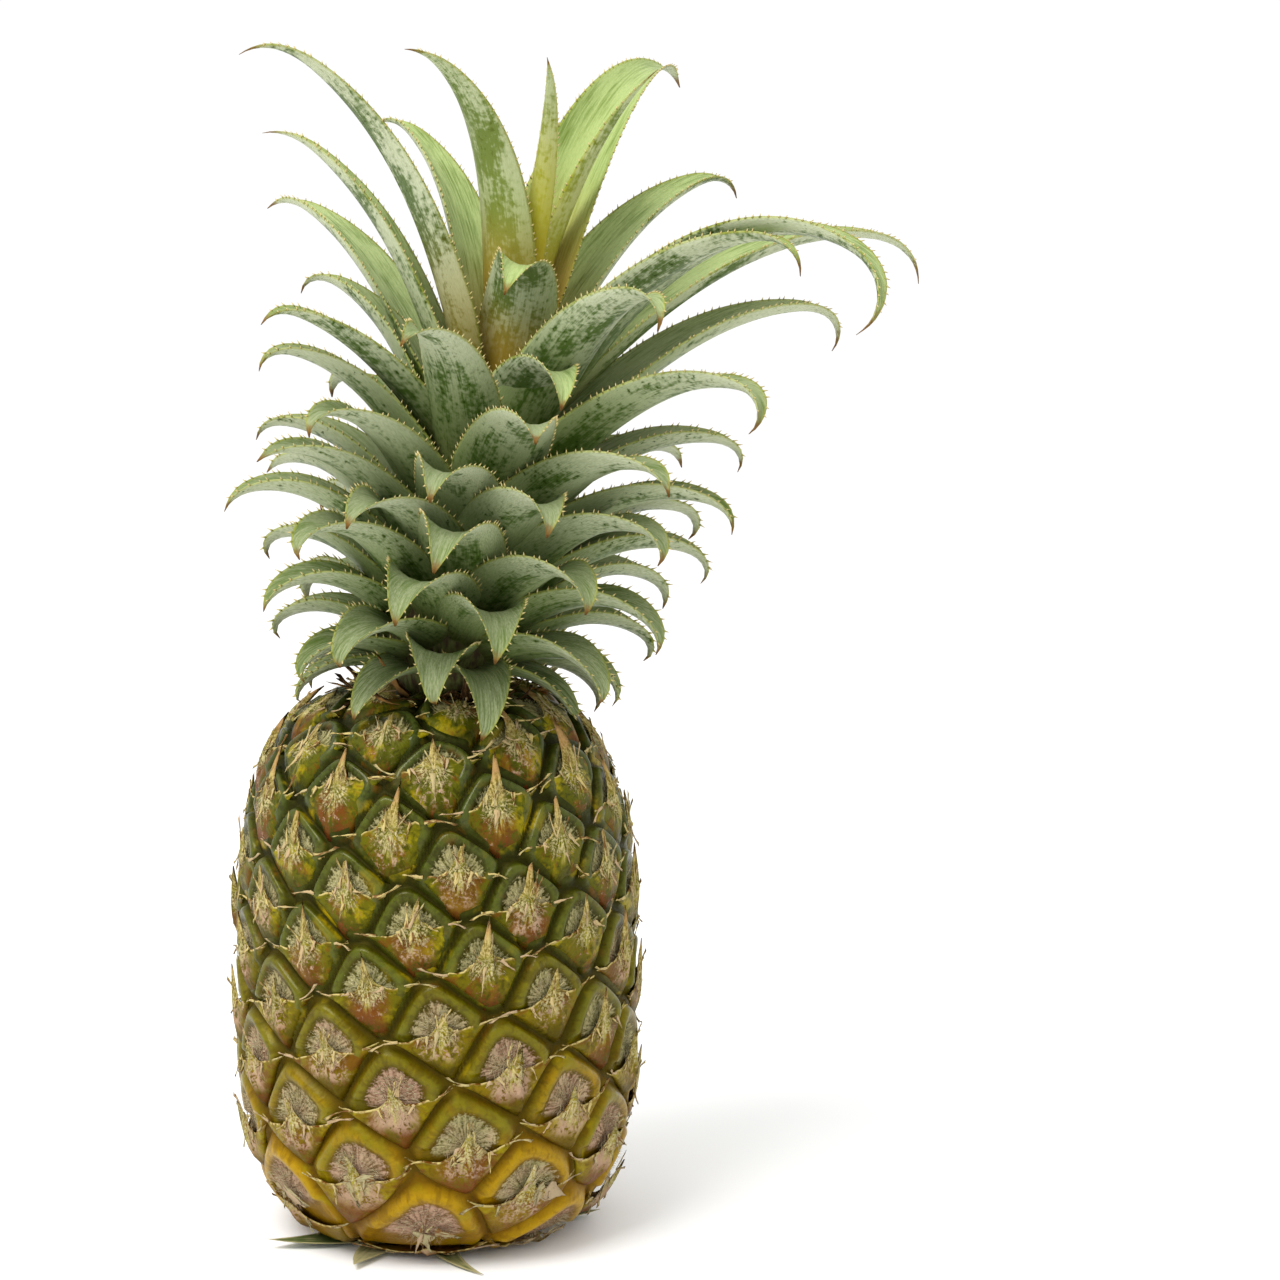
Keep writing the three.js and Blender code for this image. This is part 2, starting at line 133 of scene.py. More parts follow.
def lay_eyes():
    """Middles and sizes of the eyes from the crown down: one for each cell's worth of surface passed."""
    middles = []
    sizes = []
    step = (SPIRAL_TOP - FRUIT_UNDERSIDE) / SPIRAL_STEPS
    covered = 1 - FIRST_EYE_SHARE
    for i in range(SPIRAL_STEPS):
        z = SPIRAL_TOP - i * step
        radius = fruit_radius(z)
        slope = (fruit_radius(z - step) - radius) / step
        depth = (SPIRAL_TOP - z) / (SPIRAL_TOP - FRUIT_UNDERSIDE)
        cell = EYE_AREA * (1 + EYE_AREA_GROWTH * depth**EYE_GROWTH_POWER)
        covered += math.tau * radius * step * math.hypot(1, slope) / cell
        if covered >= 1:
            covered -= 1
            turn = FIRST_EYE_TURN + len(middles) * GOLDEN_ANGLE
            middles.append(bearing(turn) * radius + UP * z)
            sizes.append(math.sqrt(cell / EYE_AREA))
    return np.array(middles), np.array(sizes)


eye_middles, eye_sizes = lay_eyes()
eye_count = len(eye_middles)
eye_out = eye_middles - FRUIT_CENTRE
eye_out /= np.linalg.norm(eye_out, axis=1, keepdims=True)
eye_right = np.cross(UP, eye_out)
eye_right /= np.linalg.norm(eye_right, axis=1, keepdims=True)
eye_rise = np.cross(eye_out, eye_right)
eye_height = (eye_middles[:, 2] - FRUIT_UNDERSIDE) / (SPIRAL_TOP - FRUIT_UNDERSIDE)
# The flat top and the underside close the spiral's two ends
caps = np.array([UP * SPIRAL_TOP, UP * FRUIT_UNDERSIDE])
sites = np.concatenate([eye_middles, caps])


def soft_distance(walls, rounding):
    """The distance to the nearest of the walls, rounded where two of them meet."""
    return np.maximum(-rounding * np.log(np.exp(-walls / rounding).sum(1)), 0)


def eye_places(points):
    """For points on the rind: their eye, and in its own size how far right and up of its middle they are,
    how far from the groove and how far in from the foot of the rounded arch."""
    away = np.linalg.norm(points[:, None] - sites[None], axis=2)
    near = np.argsort(away, axis=1)[:, : EYE_NEIGHBOURS + 1]
    own = sites[near[:, 0]]
    eye = np.minimum(near[:, 0], eye_count - 1)
    size = eye_sizes[eye]
    walls = []
    for k in range(1, EYE_NEIGHBOURS + 1):
        other = sites[near[:, k]]
        apart = own - other
        wall = ((points - (own + other) / 2) * apart).sum(1) / np.linalg.norm(apart, axis=1)
        walls.append(wall / size)
    walls = np.stack(walls, axis=1)
    right = ((points - own) * eye_right[eye]).sum(1) / size
    rise = ((points - own) * eye_rise[eye]).sum(1) / size
    capped = near[:, 0] >= eye_count
    groove = soft_distance(walls, GROOVE["rounding"])
    arch = soft_distance(walls, ARCH["rounding"])
    return eye, capped, right, rise, groove, arch


def rind_lift(capped, rise, groove, arch):
    """How far the rind stands out of the fruit's plain form."""
    upper = smooth((rise - SHELF["height"]) / SHELF["slope"])
    ridge = ARCH["lift"] * np.exp(-(((arch - ARCH["inset"]) / ARCH["spread"]) ** 2))
    dish = DISH["depth"] * smooth((arch - DISH["edge"]) / DISH["slope"])
    seat = SEAT_LIFT * smooth(arch / DISH["edge"])
    sunk = VALLEY["depth"] * (1 - smooth(arch / VALLEY["reach"]))
    sunk = sunk + GROOVE["depth"] * np.clip(1 - groove / GROOVE["reach"], 0, 1)
    return np.where(capped, 0, upper * (ridge - dish) + (1 - upper) * seat) - sunk


def rind_outline():
    """The fruit's half outline, as even steps from the flat top down to the underside."""
    angle = np.linspace(0, math.pi, OUTLINE_SAMPLES)[1:-1]
    ray = np.stack([np.sin(angle), np.zeros_like(angle), np.cos(angle)], axis=1)
    form = on_fruit(FRUIT_CENTRE + ray, np.zeros_like(angle))
    seen = (form[:, 0] > SEAT_RADIUS) & ((form[:, 2] > FRUIT_WIDEST) | (form[:, 0] > FLAT_RADIUS))
    form = form[seen]
    passed = np.concatenate([[0], np.cumsum(np.linalg.norm(np.diff(form, axis=0), axis=1))])
    even = np.linspace(0, passed[-1], RIND_ROWS)
    side = [(np.interp(d, passed, form[:, 0]), np.interp(d, passed, form[:, 2])) for d in even]
    top = [(0, CROWN_SEAT), (SEAT_RADIUS, CROWN_SEAT)]
    foot = [(SEAT_RADIUS, FRUIT_UNDERSIDE), (SEAT_RADIUS, STALK_SEAT), (0, STALK_SEAT)]
    return top + side + foot


def spin_outline(outline, steps):
    """A closed body turned from a half outline, listed as radius and height."""
    bm = bmesh.new()
    chain = [bm.verts.new((radius, 0, z)) for radius, z in outline]
    edges = [bm.edges.new(pair) for pair in zip(chain, chain[1:])]
    bmesh.ops.spin(
        bm, geom=chain + edges, cent=(0, 0, 0), axis=(0, 0, 1), dvec=(0, 0, 0),
        angle=math.tau, steps=steps, use_merge=True, use_duplicate=False,
    )
    bmesh.ops.remove_doubles(bm, verts=bm.verts, dist=MERGE_DISTANCE)
    bmesh.ops.recalc_face_normals(bm, faces=bm.faces)
    return bm


def add_piece(name, bm, finish):
    """Brings a finished mesh to metres and puts it in the scene."""
    bmesh.ops.scale(bm, vec=(MILLIMETRE,) * 3, verts=bm.verts)
    for face in bm.faces:
        face.smooth = True
    mesh = bpy.data.meshes.new(name)
    bm.to_mesh(mesh)
    bm.free()
    mesh.materials.append(finish)
    piece = bpy.data.objects.new(name, mesh)
    bpy.context.scene.collection.objects.link(piece)
    return piece


RAYS = {"count": 8, "stretch": 0.25, "seeds": 60}


class Wire:
    """An output of a material's nodes. Sums on it add Math nodes, and add() puts in any other node."""

    def __init__(self, tree, socket=None):
        self.tree = tree
        self.socket = socket

    def add(self, kind, settings, inputs, output=0):
        node = self.tree.nodes.new(kind)
        for name, value in settings.items():
            if name == "stops":
                ramp = node.color_ramp.elements
                while len(ramp) < len(value):
                    ramp.new(1)
                for element, (place, colour) in zip(ramp, value):
                    element.position = place
                    element.color = colour
            else:
                setattr(node, name, value)
        for name, value in inputs.items():
            if isinstance(value, Wire):
                self.tree.links.new(value.socket, node.inputs[name])
            else:
                node.inputs[name].default_value = value
        return Wire(self.tree, node.outputs[output])

    def math(self, operation, first, second):
        return self.add("ShaderNodeMath", {"operation": operation}, {0: first, 1: second})

    def __add__(self, other):
        return self.math("ADD", self, other)

    def __sub__(self, other):
        return self.math("SUBTRACT", self, other)

    def __rsub__(self, other):
        return self.math("SUBTRACT", other, self)

    def __mul__(self, other):
        return self.math("MULTIPLY", self, other)

    __radd__ = __add__
    __rmul__ = __mul__

    def ease(self, low, high):
        """Eases from 0 at low to 1 at high; low may be the larger."""
        span = {"From Min": min(low, high), "From Max": max(low, high)}
        way = {"To Min": 0, "To Max": 1} if low < high else {"To Min": 1, "To Max": 0}
        settings = {"interpolation_type": "SMOOTHSTEP"}
        return self.add("ShaderNodeMapRange", settings, {"Value": self, **span, **way})

    def blend(self, first, second):
        """The first colour where this is 0, and the second where it is 1."""
        return self.add("ShaderNodeMix", {"data_type": "RGBA"}, {0: self, 6: first, 7: second}, 2)

    def ramp(self, stops):
        return self.add("ShaderNodeValToRGB", {"stops": stops}, {"Fac": self})

    def noise(self, place, scale, detail=3.0, distortion=0.0):
        inputs = {"Vector": place, "Scale": scale, "Detail": detail, "Distortion": distortion}
        return self.add("ShaderNodeTexNoise", {}, inputs)

    def place(self):
        """Where a point of the piece is."""
        return self.add("ShaderNodeTexCoord", {}, {}, "Object")

    def point(self, x, y, z):
        return self.add("ShaderNodeCombineXYZ", {}, {0: x, 1: y, 2: z})

    def reach(self, other):
        """The length of a line that has this and the other as its two legs."""
        return self.math("SQRT", self * self + other * other, 0)

    def rays(self, across, up, seed):
        """Streaks that spray out from a point that the two places are measured from."""
        turned = self.math("ARCTAN2", up, across) * RAYS["count"]
        place = self.point(turned, across.reach(up) * RAYS["stretch"], seed * RAYS["seeds"])
        return self.noise(place, 1.0)

    def stretch(self, place, scale):
        inputs = {0: place, 1: scale}
        return self.add("ShaderNodeVectorMath", {"operation": "MULTIPLY"}, inputs)

    def read(self, name, output="Vector"):
        return self.add("ShaderNodeAttribute", {"attribute_name": name}, {}, output)

    def parts(self):
        node = self.tree.nodes.new("ShaderNodeSeparateXYZ")
        self.tree.links.new(self.socket, node.inputs[0])
        return [Wire(self.tree, output) for output in node.outputs]

    def bump(self, strength, depth):
        inputs = {"Height": self, "Strength": strength, "Distance": depth * MILLIMETRE}
        return self.add("ShaderNodeBump", {}, inputs)


def srgb(red, green, blue):
    """A colour as a picture shows it, in the linear light that materials use."""
    def linear(level):
        share = level / 255
        return share / 12.92 if share <= 0.04045 else ((share + 0.055) / 1.055) ** 2.4

    return (linear(red), linear(green), linear(blue), 1)


def new_finish(name, constants):
    """A material, the wire that its nodes are added from, and its shader's inputs with the constants set."""
    finish = bpy.data.materials.new(name)
    finish.use_nodes = True
    inputs = finish.node_tree.nodes["Principled BSDF"].inputs
    for socket, value in constants.items():
        inputs[socket].default_value = value
    return finish, Wire(finish.node_tree), inputs


def wire_up(inputs, wires):
    for socket, wire in wires.items():
        wire.tree.links.new(wire.socket, inputs[socket])


rind_bm = spin_outline(rind_outline(), RIND_STEPS)
rind_points = np.array([vert.co[:] for vert in rind_bm.verts])
eye, capped, right, rise, groove, arch = eye_places(rind_points)
lift = rind_lift(capped, rise, groove, arch)
seated = np.hypot(rind_points[:, 0], rind_points[:, 1]) <= SEAT_RADIUS + SEAT_MARGIN
rind_moved = np.where(seated[:, None], rind_points, on_fruit(rind_points, lift))
eye_layer = rind_bm.verts.layers.float_vector.new("eye")
plate_layer = rind_bm.verts.layers.float_vector.new("plate")
arch_layer = rind_bm.verts.layers.float.new("arch")
eye_values = np.stack([right, rise, groove], axis=1)
plate_values = np.stack([eye_height[eye], scatter(eye, 1), scatter(eye, 2)], axis=1)
for i, vert in enumerate(rind_bm.verts):
    vert.co = rind_moved[i]
    vert[eye_layer] = eye_values[i]
    vert[plate_layer] = plate_values[i]
    vert[arch_layer] = arch[i]

SKIN_STOPS = [
    (0.0, srgb(142, 106, 3)),
    (0.14, srgb(132, 98, 3)),
    (0.3, srgb(88, 74, 2)),
    (0.55, srgb(60, 60, 3)),
    (0.8, srgb(42, 48, 5)),
    (1.0, srgb(32, 40, 7)),
]
# Lighter colours for the band along each arch: the skin's own yellower rim, with a painted highlight along
# the ridge.
RIM_AND_HIGHLIGHT_STOPS = [
    (0.0, srgb(174, 138, 4)),
    (0.16, srgb(162, 128, 4)),
    (0.32, srgb(112, 102, 6)),
    (0.6, srgb(80, 86, 14)),
    (1.0, srgb(58, 70, 26)),
]
# Painted shade for the grooves, from the fruit's foot up to its top; it also serves as the colour of random
# dark mottling.
VALLEY_SHADE_STOPS = [
    (0.0, srgb(104, 70, 2)),
    (0.3, srgb(70, 54, 2)),
    (0.6, srgb(36, 34, 1)),
    (1.0, srgb(15, 17, 1)),
]
SKIN_YELLOW = srgb(142, 122, 4)
SKIN_BROWN = srgb(98, 58, 8)
FUZZ_PALE = srgb(170, 162, 116)
FUZZ_MAUVE = srgb(176, 144, 122)
FUZZ_GREEN = srgb(80, 78, 30)
FUZZ_BROWN = srgb(108, 78, 54)
SPRAY_ROOT = 1.5
SHEEN = {"Specular IOR Level": 0.18, "Specular Tint": srgb(255, 244, 150)}
RIND_WAX = {"Coat Roughness": 0.18, "Coat IOR": 1.5}

rind_finish, paint, rind_inputs = new_finish("waxy_rind", {**SHEEN, **RIND_WAX})
place = paint.place()
across, up, wall = paint.read("eye").parts()
height, tint, tint_other = paint.read("plate").parts()
arch_in = paint.read("arch", "Fac")
mottle = paint.noise(place, 190)
blotch = paint.noise(place, 75)
wrinkle = paint.noise(place, 560, 3, 0.6)
grain = paint.noise(place, 1500, 4)
streak = paint.rays(across, up + SPRAY_ROOT, tint)
ripe = height + (tint - 0.5) * 0.16 + (mottle - 0.5) * 0.35 + (blotch - 0.5) * 0.3
skin = ripe.ramp(SKIN_STOPS)
skin = (blotch + (mottle - 0.5) * 0.7).ease(0.56, 0.78).blend(skin, SKIN_YELLOW)
skin = ((blotch - (mottle - 0.5) * 0.8).ease(0.42, 0.26) * 0.7).blend(skin, SKIN_BROWN)
# The band along each arch takes the rim colours, which carry a painted highlight along the ridge.
band = arch_in + (mottle - 0.5) * 1.6
ring = band.ease(0.7, 1.8) * band.ease(4.2, 2.6) * up.ease(-4.5, -1.5)
skin = (ring * (wrinkle * 0.9 + mottle * 0.6 - 0.1)).blend(skin, ripe.ramp(RIM_AND_HIGHLIGHT_STOPS))
shade = height.ramp(VALLEY_SHADE_STOPS)
skin = ((streak * 0.7 + mottle * 0.8 + blotch * 0.5).ease(0.98, 0.82) * 0.5).blend(skin, shade)
skin = (wrinkle.ease(0.5, 0.3) * (0.2 + height * 0.4)).blend(skin, shade)
# Painted shade: the skin darkens towards the groove at the foot of each arch, and round the inner edge of the
# arch where it drops into the hollow.
skin = ((arch_in + (mottle - 0.5) * 1.4).ease(1.0, 0.1) * 0.7).blend(skin, shade)
skin = (band.ease(3.0, 4.0) * 0.6).blend(skin, shade)
pinkish = (mottle * 0.6 + tint_other * 0.5 - height).ease(0.0, 0.5)
fuzz_dark = pinkish.blend(FUZZ_GREEN, FUZZ_BROWN)
fuzz_light = pinkish.blend(FUZZ_PALE, FUZZ_MAUVE)
fuzz = (streak * 0.9 + grain * 0.6).ease(0.52, 0.92).blend(fuzz_dark, fuzz_light)
hollow = (arch_in + (streak - 0.5) * 2.4 + (grain - 0.5) * 3.0).ease(3.7, 4.9) * up.ease(-4.5, -2.5)
colour = hollow.blend(skin, fuzz)
# Painted shade along the crease of the groove.
colour = (wall + (wrinkle - 0.5) * 0.8).ease(0.9, 0.1).blend(colour, shade)
relief = grain * 0.15 + streak * hollow * 1.2 + mottle * 0.6 + wrinkle * 0.5
wire_up(rind_inputs, {
    "Base Color": colour,
    "Roughness": 0.34 + hollow * 0.45 + (grain - 0.5) * 0.25 + arch_in.ease(1.2, 0.2) * 0.25,
    "Coat Weight": ring * (1 - hollow) * (0.08 + height * 0.3) * (0.3 + mottle),
    "Normal": relief.bump(0.7, 0.6),
})

rind = add_piece("rind", rind_bm, rind_finish)
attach(rind, "root")
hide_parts("fruit")


# Eye bracts
# The leathery scale under each eye. It covers the eye's lower half from corner to corner, thins to a
# papery straw margin with a whisker at both ends, and runs up in the middle into a dry ragged spike.

BRACT_COLUMNS = 18
BRACT_ROWS = 8
BRACT_THICKNESS = 0.3
CELL_NEIGHBOURS = 8
LEAST_FACING = 0.08
OUT_OF_REACH = 1e3
CORNER_SEARCH = 34
CORNER_LEVEL = 0.1
CORNER_SAMPLES = 69
WHISKER_REACH = 1.2
BRACT_FOOT_LIFT = -1.7
BRACT_EDGE_LIFT = 0.9
WHISKER_LIFT = 0.2
SPIKE_HEIGHT = (7.5, 14.5)
SPIKE = {"broad": 2.8, "narrow": 0.75, "lift": 2.0, "skew": 2.6}
SPIKE_BROAD_SHARE = 0.46
MARGIN_DROP = 1.8
MARGIN_RAGGED = 1.1
RAGGED_LIFT = 0.5
RAGGED_SEEDS = 37
MIDDLE_CROWDING = 1.55
BRACT_BULGE = 5
END_NARROWING = 3


def between(ends, share):
    """What lies at a share of the way from the first end to the second."""
    return ends[0] + (ends[1] - ends[0]) * share


def eye_cell(index):
    """A rule for how far an eye's cell reaches from its middle, in a direction in the eye's own plane."""
    away = sites - sites[index]
    near = np.argsort(np.linalg.norm(away, axis=1))[1 : CELL_NEIGHBOURS + 1]
    right = away[near] @ eye_right[index]
    rise = away[near] @ eye_rise[index]
    span = np.hypot(right, rise) / 2
    toward = np.arctan2(rise, right)

    def reach(angle):
        facing = np.cos(np.subtract.outer(angle, toward))
        wall = span / np.maximum(facing, LEAST_FACING)
        return np.min(np.where(facing > LEAST_FACING, wall, OUT_OF_REACH), axis=-1)

    return reach


def eye_corner(reach, toward):
    """The far corner of a cell on one side, near level: its direction and distance."""
    angles = np.radians(np.linspace(toward - CORNER_SEARCH, toward + CORNER_SEARCH, CORNER_SAMPLES))
    reaches = reach(angles)
    best = int(np.argmax(reaches - CORNER_LEVEL * np.abs(np.degrees(angles) - toward)))
    return angles[best], reaches[best]


def bract_corners(index):
    """The direction and distance of a bract's left and right corners."""
    reach = eye_cell(index)
    return eye_corner(reach, 180), eye_corner(reach, 360)


def bract_margin(index, side):
    """A bract's margin in its eye's plane, for sides from -1 at the left corner to 1 at the right,
    and the spike's share in it."""
    size = eye_sizes[index]
    ends = []
    for angle, far in bract_corners(index):
        ends.append(np.array([math.cos(angle), math.sin(angle)]) * (far + WHISKER_REACH * size))
    margin = between(ends, (side[:, None] + 1) / 2)
    broad = np.exp(-np.abs(margin[:, 0]) / (SPIKE["broad"] * size))
    narrow = np.exp(-np.abs(margin[:, 0]) / (SPIKE["narrow"] * size))
    spike = between((narrow, broad), SPIKE_BROAD_SHARE)
    tall = between(SPIKE_HEIGHT, scatter(index, 4)) * math.sqrt(size)
    margin[:, 1] += tall * spike - MARGIN_DROP * size * (1 - side**2)
    margin[:, 0] += SPIKE["skew"] * size * (scatter(index, 5) * 2 - 1) * spike**2
    return margin, spike


def shape_bract(index):
    """One bract as a thin sheet, from its foot in the groove to its margin and spike."""
    size = eye_sizes[index]
    bm = bmesh.new()
    bmesh.ops.create_grid(bm, x_segments=BRACT_COLUMNS, y_segments=BRACT_ROWS, size=1)
    grid = np.array([vert.co[:2] for vert in bm.verts])
    column = np.rint((grid[:, 0] + 1) / 2 * BRACT_COLUMNS)
    side = np.sign(grid[:, 0]) * np.abs(grid[:, 0]) ** MIDDLE_CROWDING
    share = (grid[:, 1] + 1) / 2

    corner_angles = [angle for angle, far in bract_corners(index)]
    foot_angle = between(corner_angles, (side + 1) / 2)
    foot_reach = eye_cell(index)(foot_angle)
    foot = np.stack([np.cos(foot_angle), np.sin(foot_angle)], axis=1) * foot_reach[:, None]
    margin, spike = bract_margin(index, side)
    end = np.abs(side) ** END_NARROWING
    foot = foot * (1 - end[:, None]) + margin * end[:, None]
    ragged = (scatter(index * RAGGED_SEEDS + column, 3) - 0.5) * MARGIN_RAGGED
    margin[:, 1] += ragged

    flat = foot + (margin - foot) * share[:, None]
    bulge = 1 - (1 - share) ** BRACT_BULGE
    edge_lift = BRACT_EDGE_LIFT + SPIKE["lift"] * spike**2 - (BRACT_EDGE_LIFT - WHISKER_LIFT) * end
    foot_lift = BRACT_FOOT_LIFT + (WHISKER_LIFT - BRACT_FOOT_LIFT) * end
    lift = foot_lift + (edge_lift - foot_lift) * bulge + ragged * RAGGED_LIFT * share
    base = eye_middles[index] + flat[:, :1] * eye_right[index] + flat[:, 1:] * eye_rise[index]
    placed = on_fruit(base, lift)
    to_edge = (1 - share) * np.linalg.norm(margin - foot, axis=1)

    bract_layer = bm.verts.layers.float_vector.new("bract")
    plate_layer = bm.verts.layers.float_vector.new("plate")
    plate = (eye_height[index], scatter(index, 1), scatter(index, 2))
    bract_values = np.stack([flat[:, 0], to_edge, flat[:, 1]], axis=1) / size
    for vert, place, values in zip(bm.verts, placed, bract_values):
        vert.co = place
        vert[bract_layer] = values
        vert[plate_layer] = plate
    return bm


def gather(shapes):
    """Joins small meshes into one."""
    whole = bmesh.new()
    for bm in shapes:
        mesh = bpy.data.meshes.new("shape")
        bm.to_mesh(mesh)
        bm.free()
        whole.from_mesh(mesh)
        bpy.data.meshes.remove(mesh)
    return whole


def thicken(piece, thickness):
    """Gives a sheet its thickness, inwards."""
    wall = piece.modifiers.new("thickness", "SOLIDIFY")
    wall.thickness = thickness * MILLIMETRE
    wall.offset = -1


BRACT_STOPS = [
    (0.0, srgb(140, 108, 8)),
    (0.2, srgb(122, 98, 4)),
    (0.45, srgb(98, 86, 3)),
    (0.75, srgb(80, 80, 5)),
    (1.0, srgb(68, 72, 8)),
]
BRACT_GLOW = srgb(142, 128, 8)
BRACT_BROWN = srgb(96, 54, 8)
KEEL_GREEN = srgb(160, 152, 62)
STRAW = srgb(190, 172, 110)
STRAW_SHADE = srgb(112, 92, 32)
STRAW_GREY = srgb(184, 176, 138)
TIP_TAN = srgb(172, 134, 88)
FROST = srgb(184, 172, 122)
SCURF_MAUVE = srgb(172, 142, 118)
SCURF_RED = srgb(106, 44, 20)

bract_finish, paint, bract_inputs = new_finish("leathery_bract", SHEEN)
place = paint.place()
across, to_edge, up = paint.read("bract").parts()
height, tint, tint_other = paint.read("plate").parts()
mottle = paint.noise(place, 230)
blotch = paint.noise(place, 90)
wrinkle = paint.noise(place, 560, 3, 0.6)
grain = paint.noise(place, 1400, 4)
streak = paint.rays(across, up - 1.0, tint)
away = paint.math("ABSOLUTE", across, 0)
far = across.reach(up)
skin = (height + (tint - 0.5) * 0.2 + (mottle - 0.5) * 0.3).ramp(BRACT_STOPS)
skin = (wrinkle.ease(0.5, 0.3) * 0.6).blend(skin, height.ramp(VALLEY_SHADE_STOPS))
skin = ((mottle + blotch + (streak + wrinkle - 1) * 0.5).ease(0.98, 1.3) * 0.9).blend(skin, BRACT_GLOW)
skin = ((blotch - (mottle - 0.5) * 0.7 - (streak - 0.5) * 0.6).ease(0.5, 0.3) * 0.8).blend(skin, BRACT_BROWN)
# Painted shade: the bract darkens towards its foot, where it dips into the groove.
skin = ((up + (mottle - 0.5) * 5).ease(-5.5, -11.0) * 0.7).blend(skin, height.ramp(VALLEY_SHADE_STOPS))
red = (away + (mottle - 0.5) * 6).ease(7.5, 3.5) * (up + (streak - 0.5) * 6).ease(-0.5, -3.0)
red = red * (mottle + (grain - 0.5) * 0.6 + (tint - 0.5) * 0.5).ease(0.52, 0.68)
skin = (red * 0.55).blend(skin, SCURF_RED)
low = (up + (streak - 0.5) * 7).ease(-0.5, -3.0) * (away + (streak - 0.5) * 7).ease(6.5, 3.0)
low = low * (up + (mottle - 0.5) * 4).ease(-9.5, -6.0)
flaky = (tint_other - height) * 0.25 + height.ease(0.45, 0.15) * 0.1
scurf = low * (grain * 0.6 + wrinkle * 0.8 + streak * 0.3 + flaky).ease(0.84, 1.0)
skin = (scurf * 0.9).blend(skin, SCURF_MAUVE)
keel = (away + (streak - 0.5) * 2).ease(2.0, 0.5) * up.ease(-7.5, -4.0) * streak.ease(0.4, 0.6)
skin = (keel * 0.75).blend(skin, KEEL_GREEN)
frosted = (far - (streak - 0.5) * 7).ease(5.4, 2.6) * (grain * 0.9 + streak * 0.5).ease(0.6, 0.82)
skin = frosted.blend(skin, FROST)
dry = (grain * 0.5 + streak * 0.6).ease(0.42, 0.66).blend(STRAW_SHADE, STRAW)
dry = (height.ease(0.45, 0.1) * grain.ease(0.35, 0.6) * 0.8).blend(dry, STRAW_GREY)
dry = ((up + (grain - 0.5) * 4).ease(3.0, 0.5) * 0.7).blend(dry, KEEL_GREEN)
dry = (up + (grain - 0.5) * 4).ease(5.0, 8.5).blend(dry, TIP_TAN)
spiky = (up + (streak - 0.5) * 3).ease(0.4, 1.8) * (away + (streak - 0.5) * 4).ease(3.2, 1.8)
papery = (to_edge + (mottle - 0.5) * 0.9).ease(0.6, 0.15)
dried = paint.math("MAXIMUM", spiky * (0.6 + grain * 0.5), papery)
dry = (papery * up.ease(2.0, 0.5)).blend(dry, wrinkle.ease(0.35, 0.6).blend(BRACT_BROWN, STRAW))
colour = dried.blend(skin, dry)
relief = grain * (0.2 + dried + scurf + frosted) + streak * 0.6 + mottle * 0.5 + wrinkle * 0.6
wire_up(bract_inputs, {
    "Base Color": colour,
    "Roughness": 0.45 + dried * 0.4 + scurf * 0.3 + frosted * 0.3,
    "Normal": relief.bump(0.7, 0.5),
})

eye_bracts = add_piece("eye_bracts", gather(map(shape_bract, range(eye_count))), bract_finish)
thicken(eye_bracts, BRACT_THICKNESS)
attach(eye_bracts, "root")
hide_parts("fruit")


# Eye hairs
# The pale felt round the foot of each spike: the withered flower's fine hairs, which spray out from
# the middle of the eye. Each grows from the rind or from the bract.

HAIRS_PER_EYE = 170
HAIR_SIDES = 3
HAIR_RADIUS = 0.075
HAIR_LENGTH = (0.8, 2.4)
HAIR_FIELD = {"radius": 5.2, "squash": 0.85, "middle": -0.1}
HAIR_TILT = 1.1
HAIR_STRAY = 2.2
HAIR_DISH = {"edge": -2.0, "slope": 2.5}
HAIR_ROOT_LIFT = (0.7, -0.9)


def shape_hairs(index):
    """The felt of one eye."""
    size = eye_sizes[index]
    bm = bmesh.new()
    hair_layer = bm.verts.layers.float_vector.new("hair")
    for k in range(round(HAIRS_PER_EYE * size)):
        seed = index * 2 * HAIRS_PER_EYE + k
        angle = math.tau * scatter(seed, 11)
        far = HAIR_FIELD["radius"] * math.sqrt(scatter(seed, 12))
        right = far * math.cos(angle)
        rise = far * math.sin(angle) * HAIR_FIELD["squash"] + HAIR_FIELD["middle"]
        root = eye_middles[index] + (right * eye_right[index] + rise * eye_rise[index]) * size
        lift = between(HAIR_ROOT_LIFT, smooth((rise - HAIR_DISH["edge"]) / HAIR_DISH["slope"]))
        placed = on_fruit(root[None], np.array([lift]))[0]
        angle += (scatter(seed, 13) - 0.5) * HAIR_STRAY
        heading = eye_right[index] * math.cos(angle) + eye_rise[index] * math.sin(angle)
        heading = heading + eye_out[index] * HAIR_TILT * scatter(seed, 14)
        length = size * between(HAIR_LENGTH, scatter(seed, 15))
        # No hair reaches under the fruit
        if placed[2] + heading[2] * length < FRUIT_UNDERSIDE:
            continue
        verts = grow_spike(bm, Vector(placed), Vector(heading), length, HAIR_RADIUS, HAIR_SIDES)
        for vert in verts:
            vert[hair_layer] = (eye_height[index], scatter(seed, 16), rise)
    return bm


def grow_spike(bm, root, heading, length, radius, sides):
    """A slim point that stands on its root and tapers along its heading."""
    turn = heading.to_track_quat("Z", "Y").to_matrix().to_4x4()
    place = Matrix.Translation(root) @ turn @ Matrix.Translation((0, 0, length / 2))
    return bmesh.ops.create_cone(
        bm, cap_ends=True, cap_tris=True, segments=sides, radius1=radius, radius2=0,
        depth=length, matrix=place,
    )["verts"]


HAIR_WHITE = srgb(206, 198, 160)
HAIR_GREY = srgb(126, 116, 70)
HAIR_MAUVE = srgb(160, 128, 98)

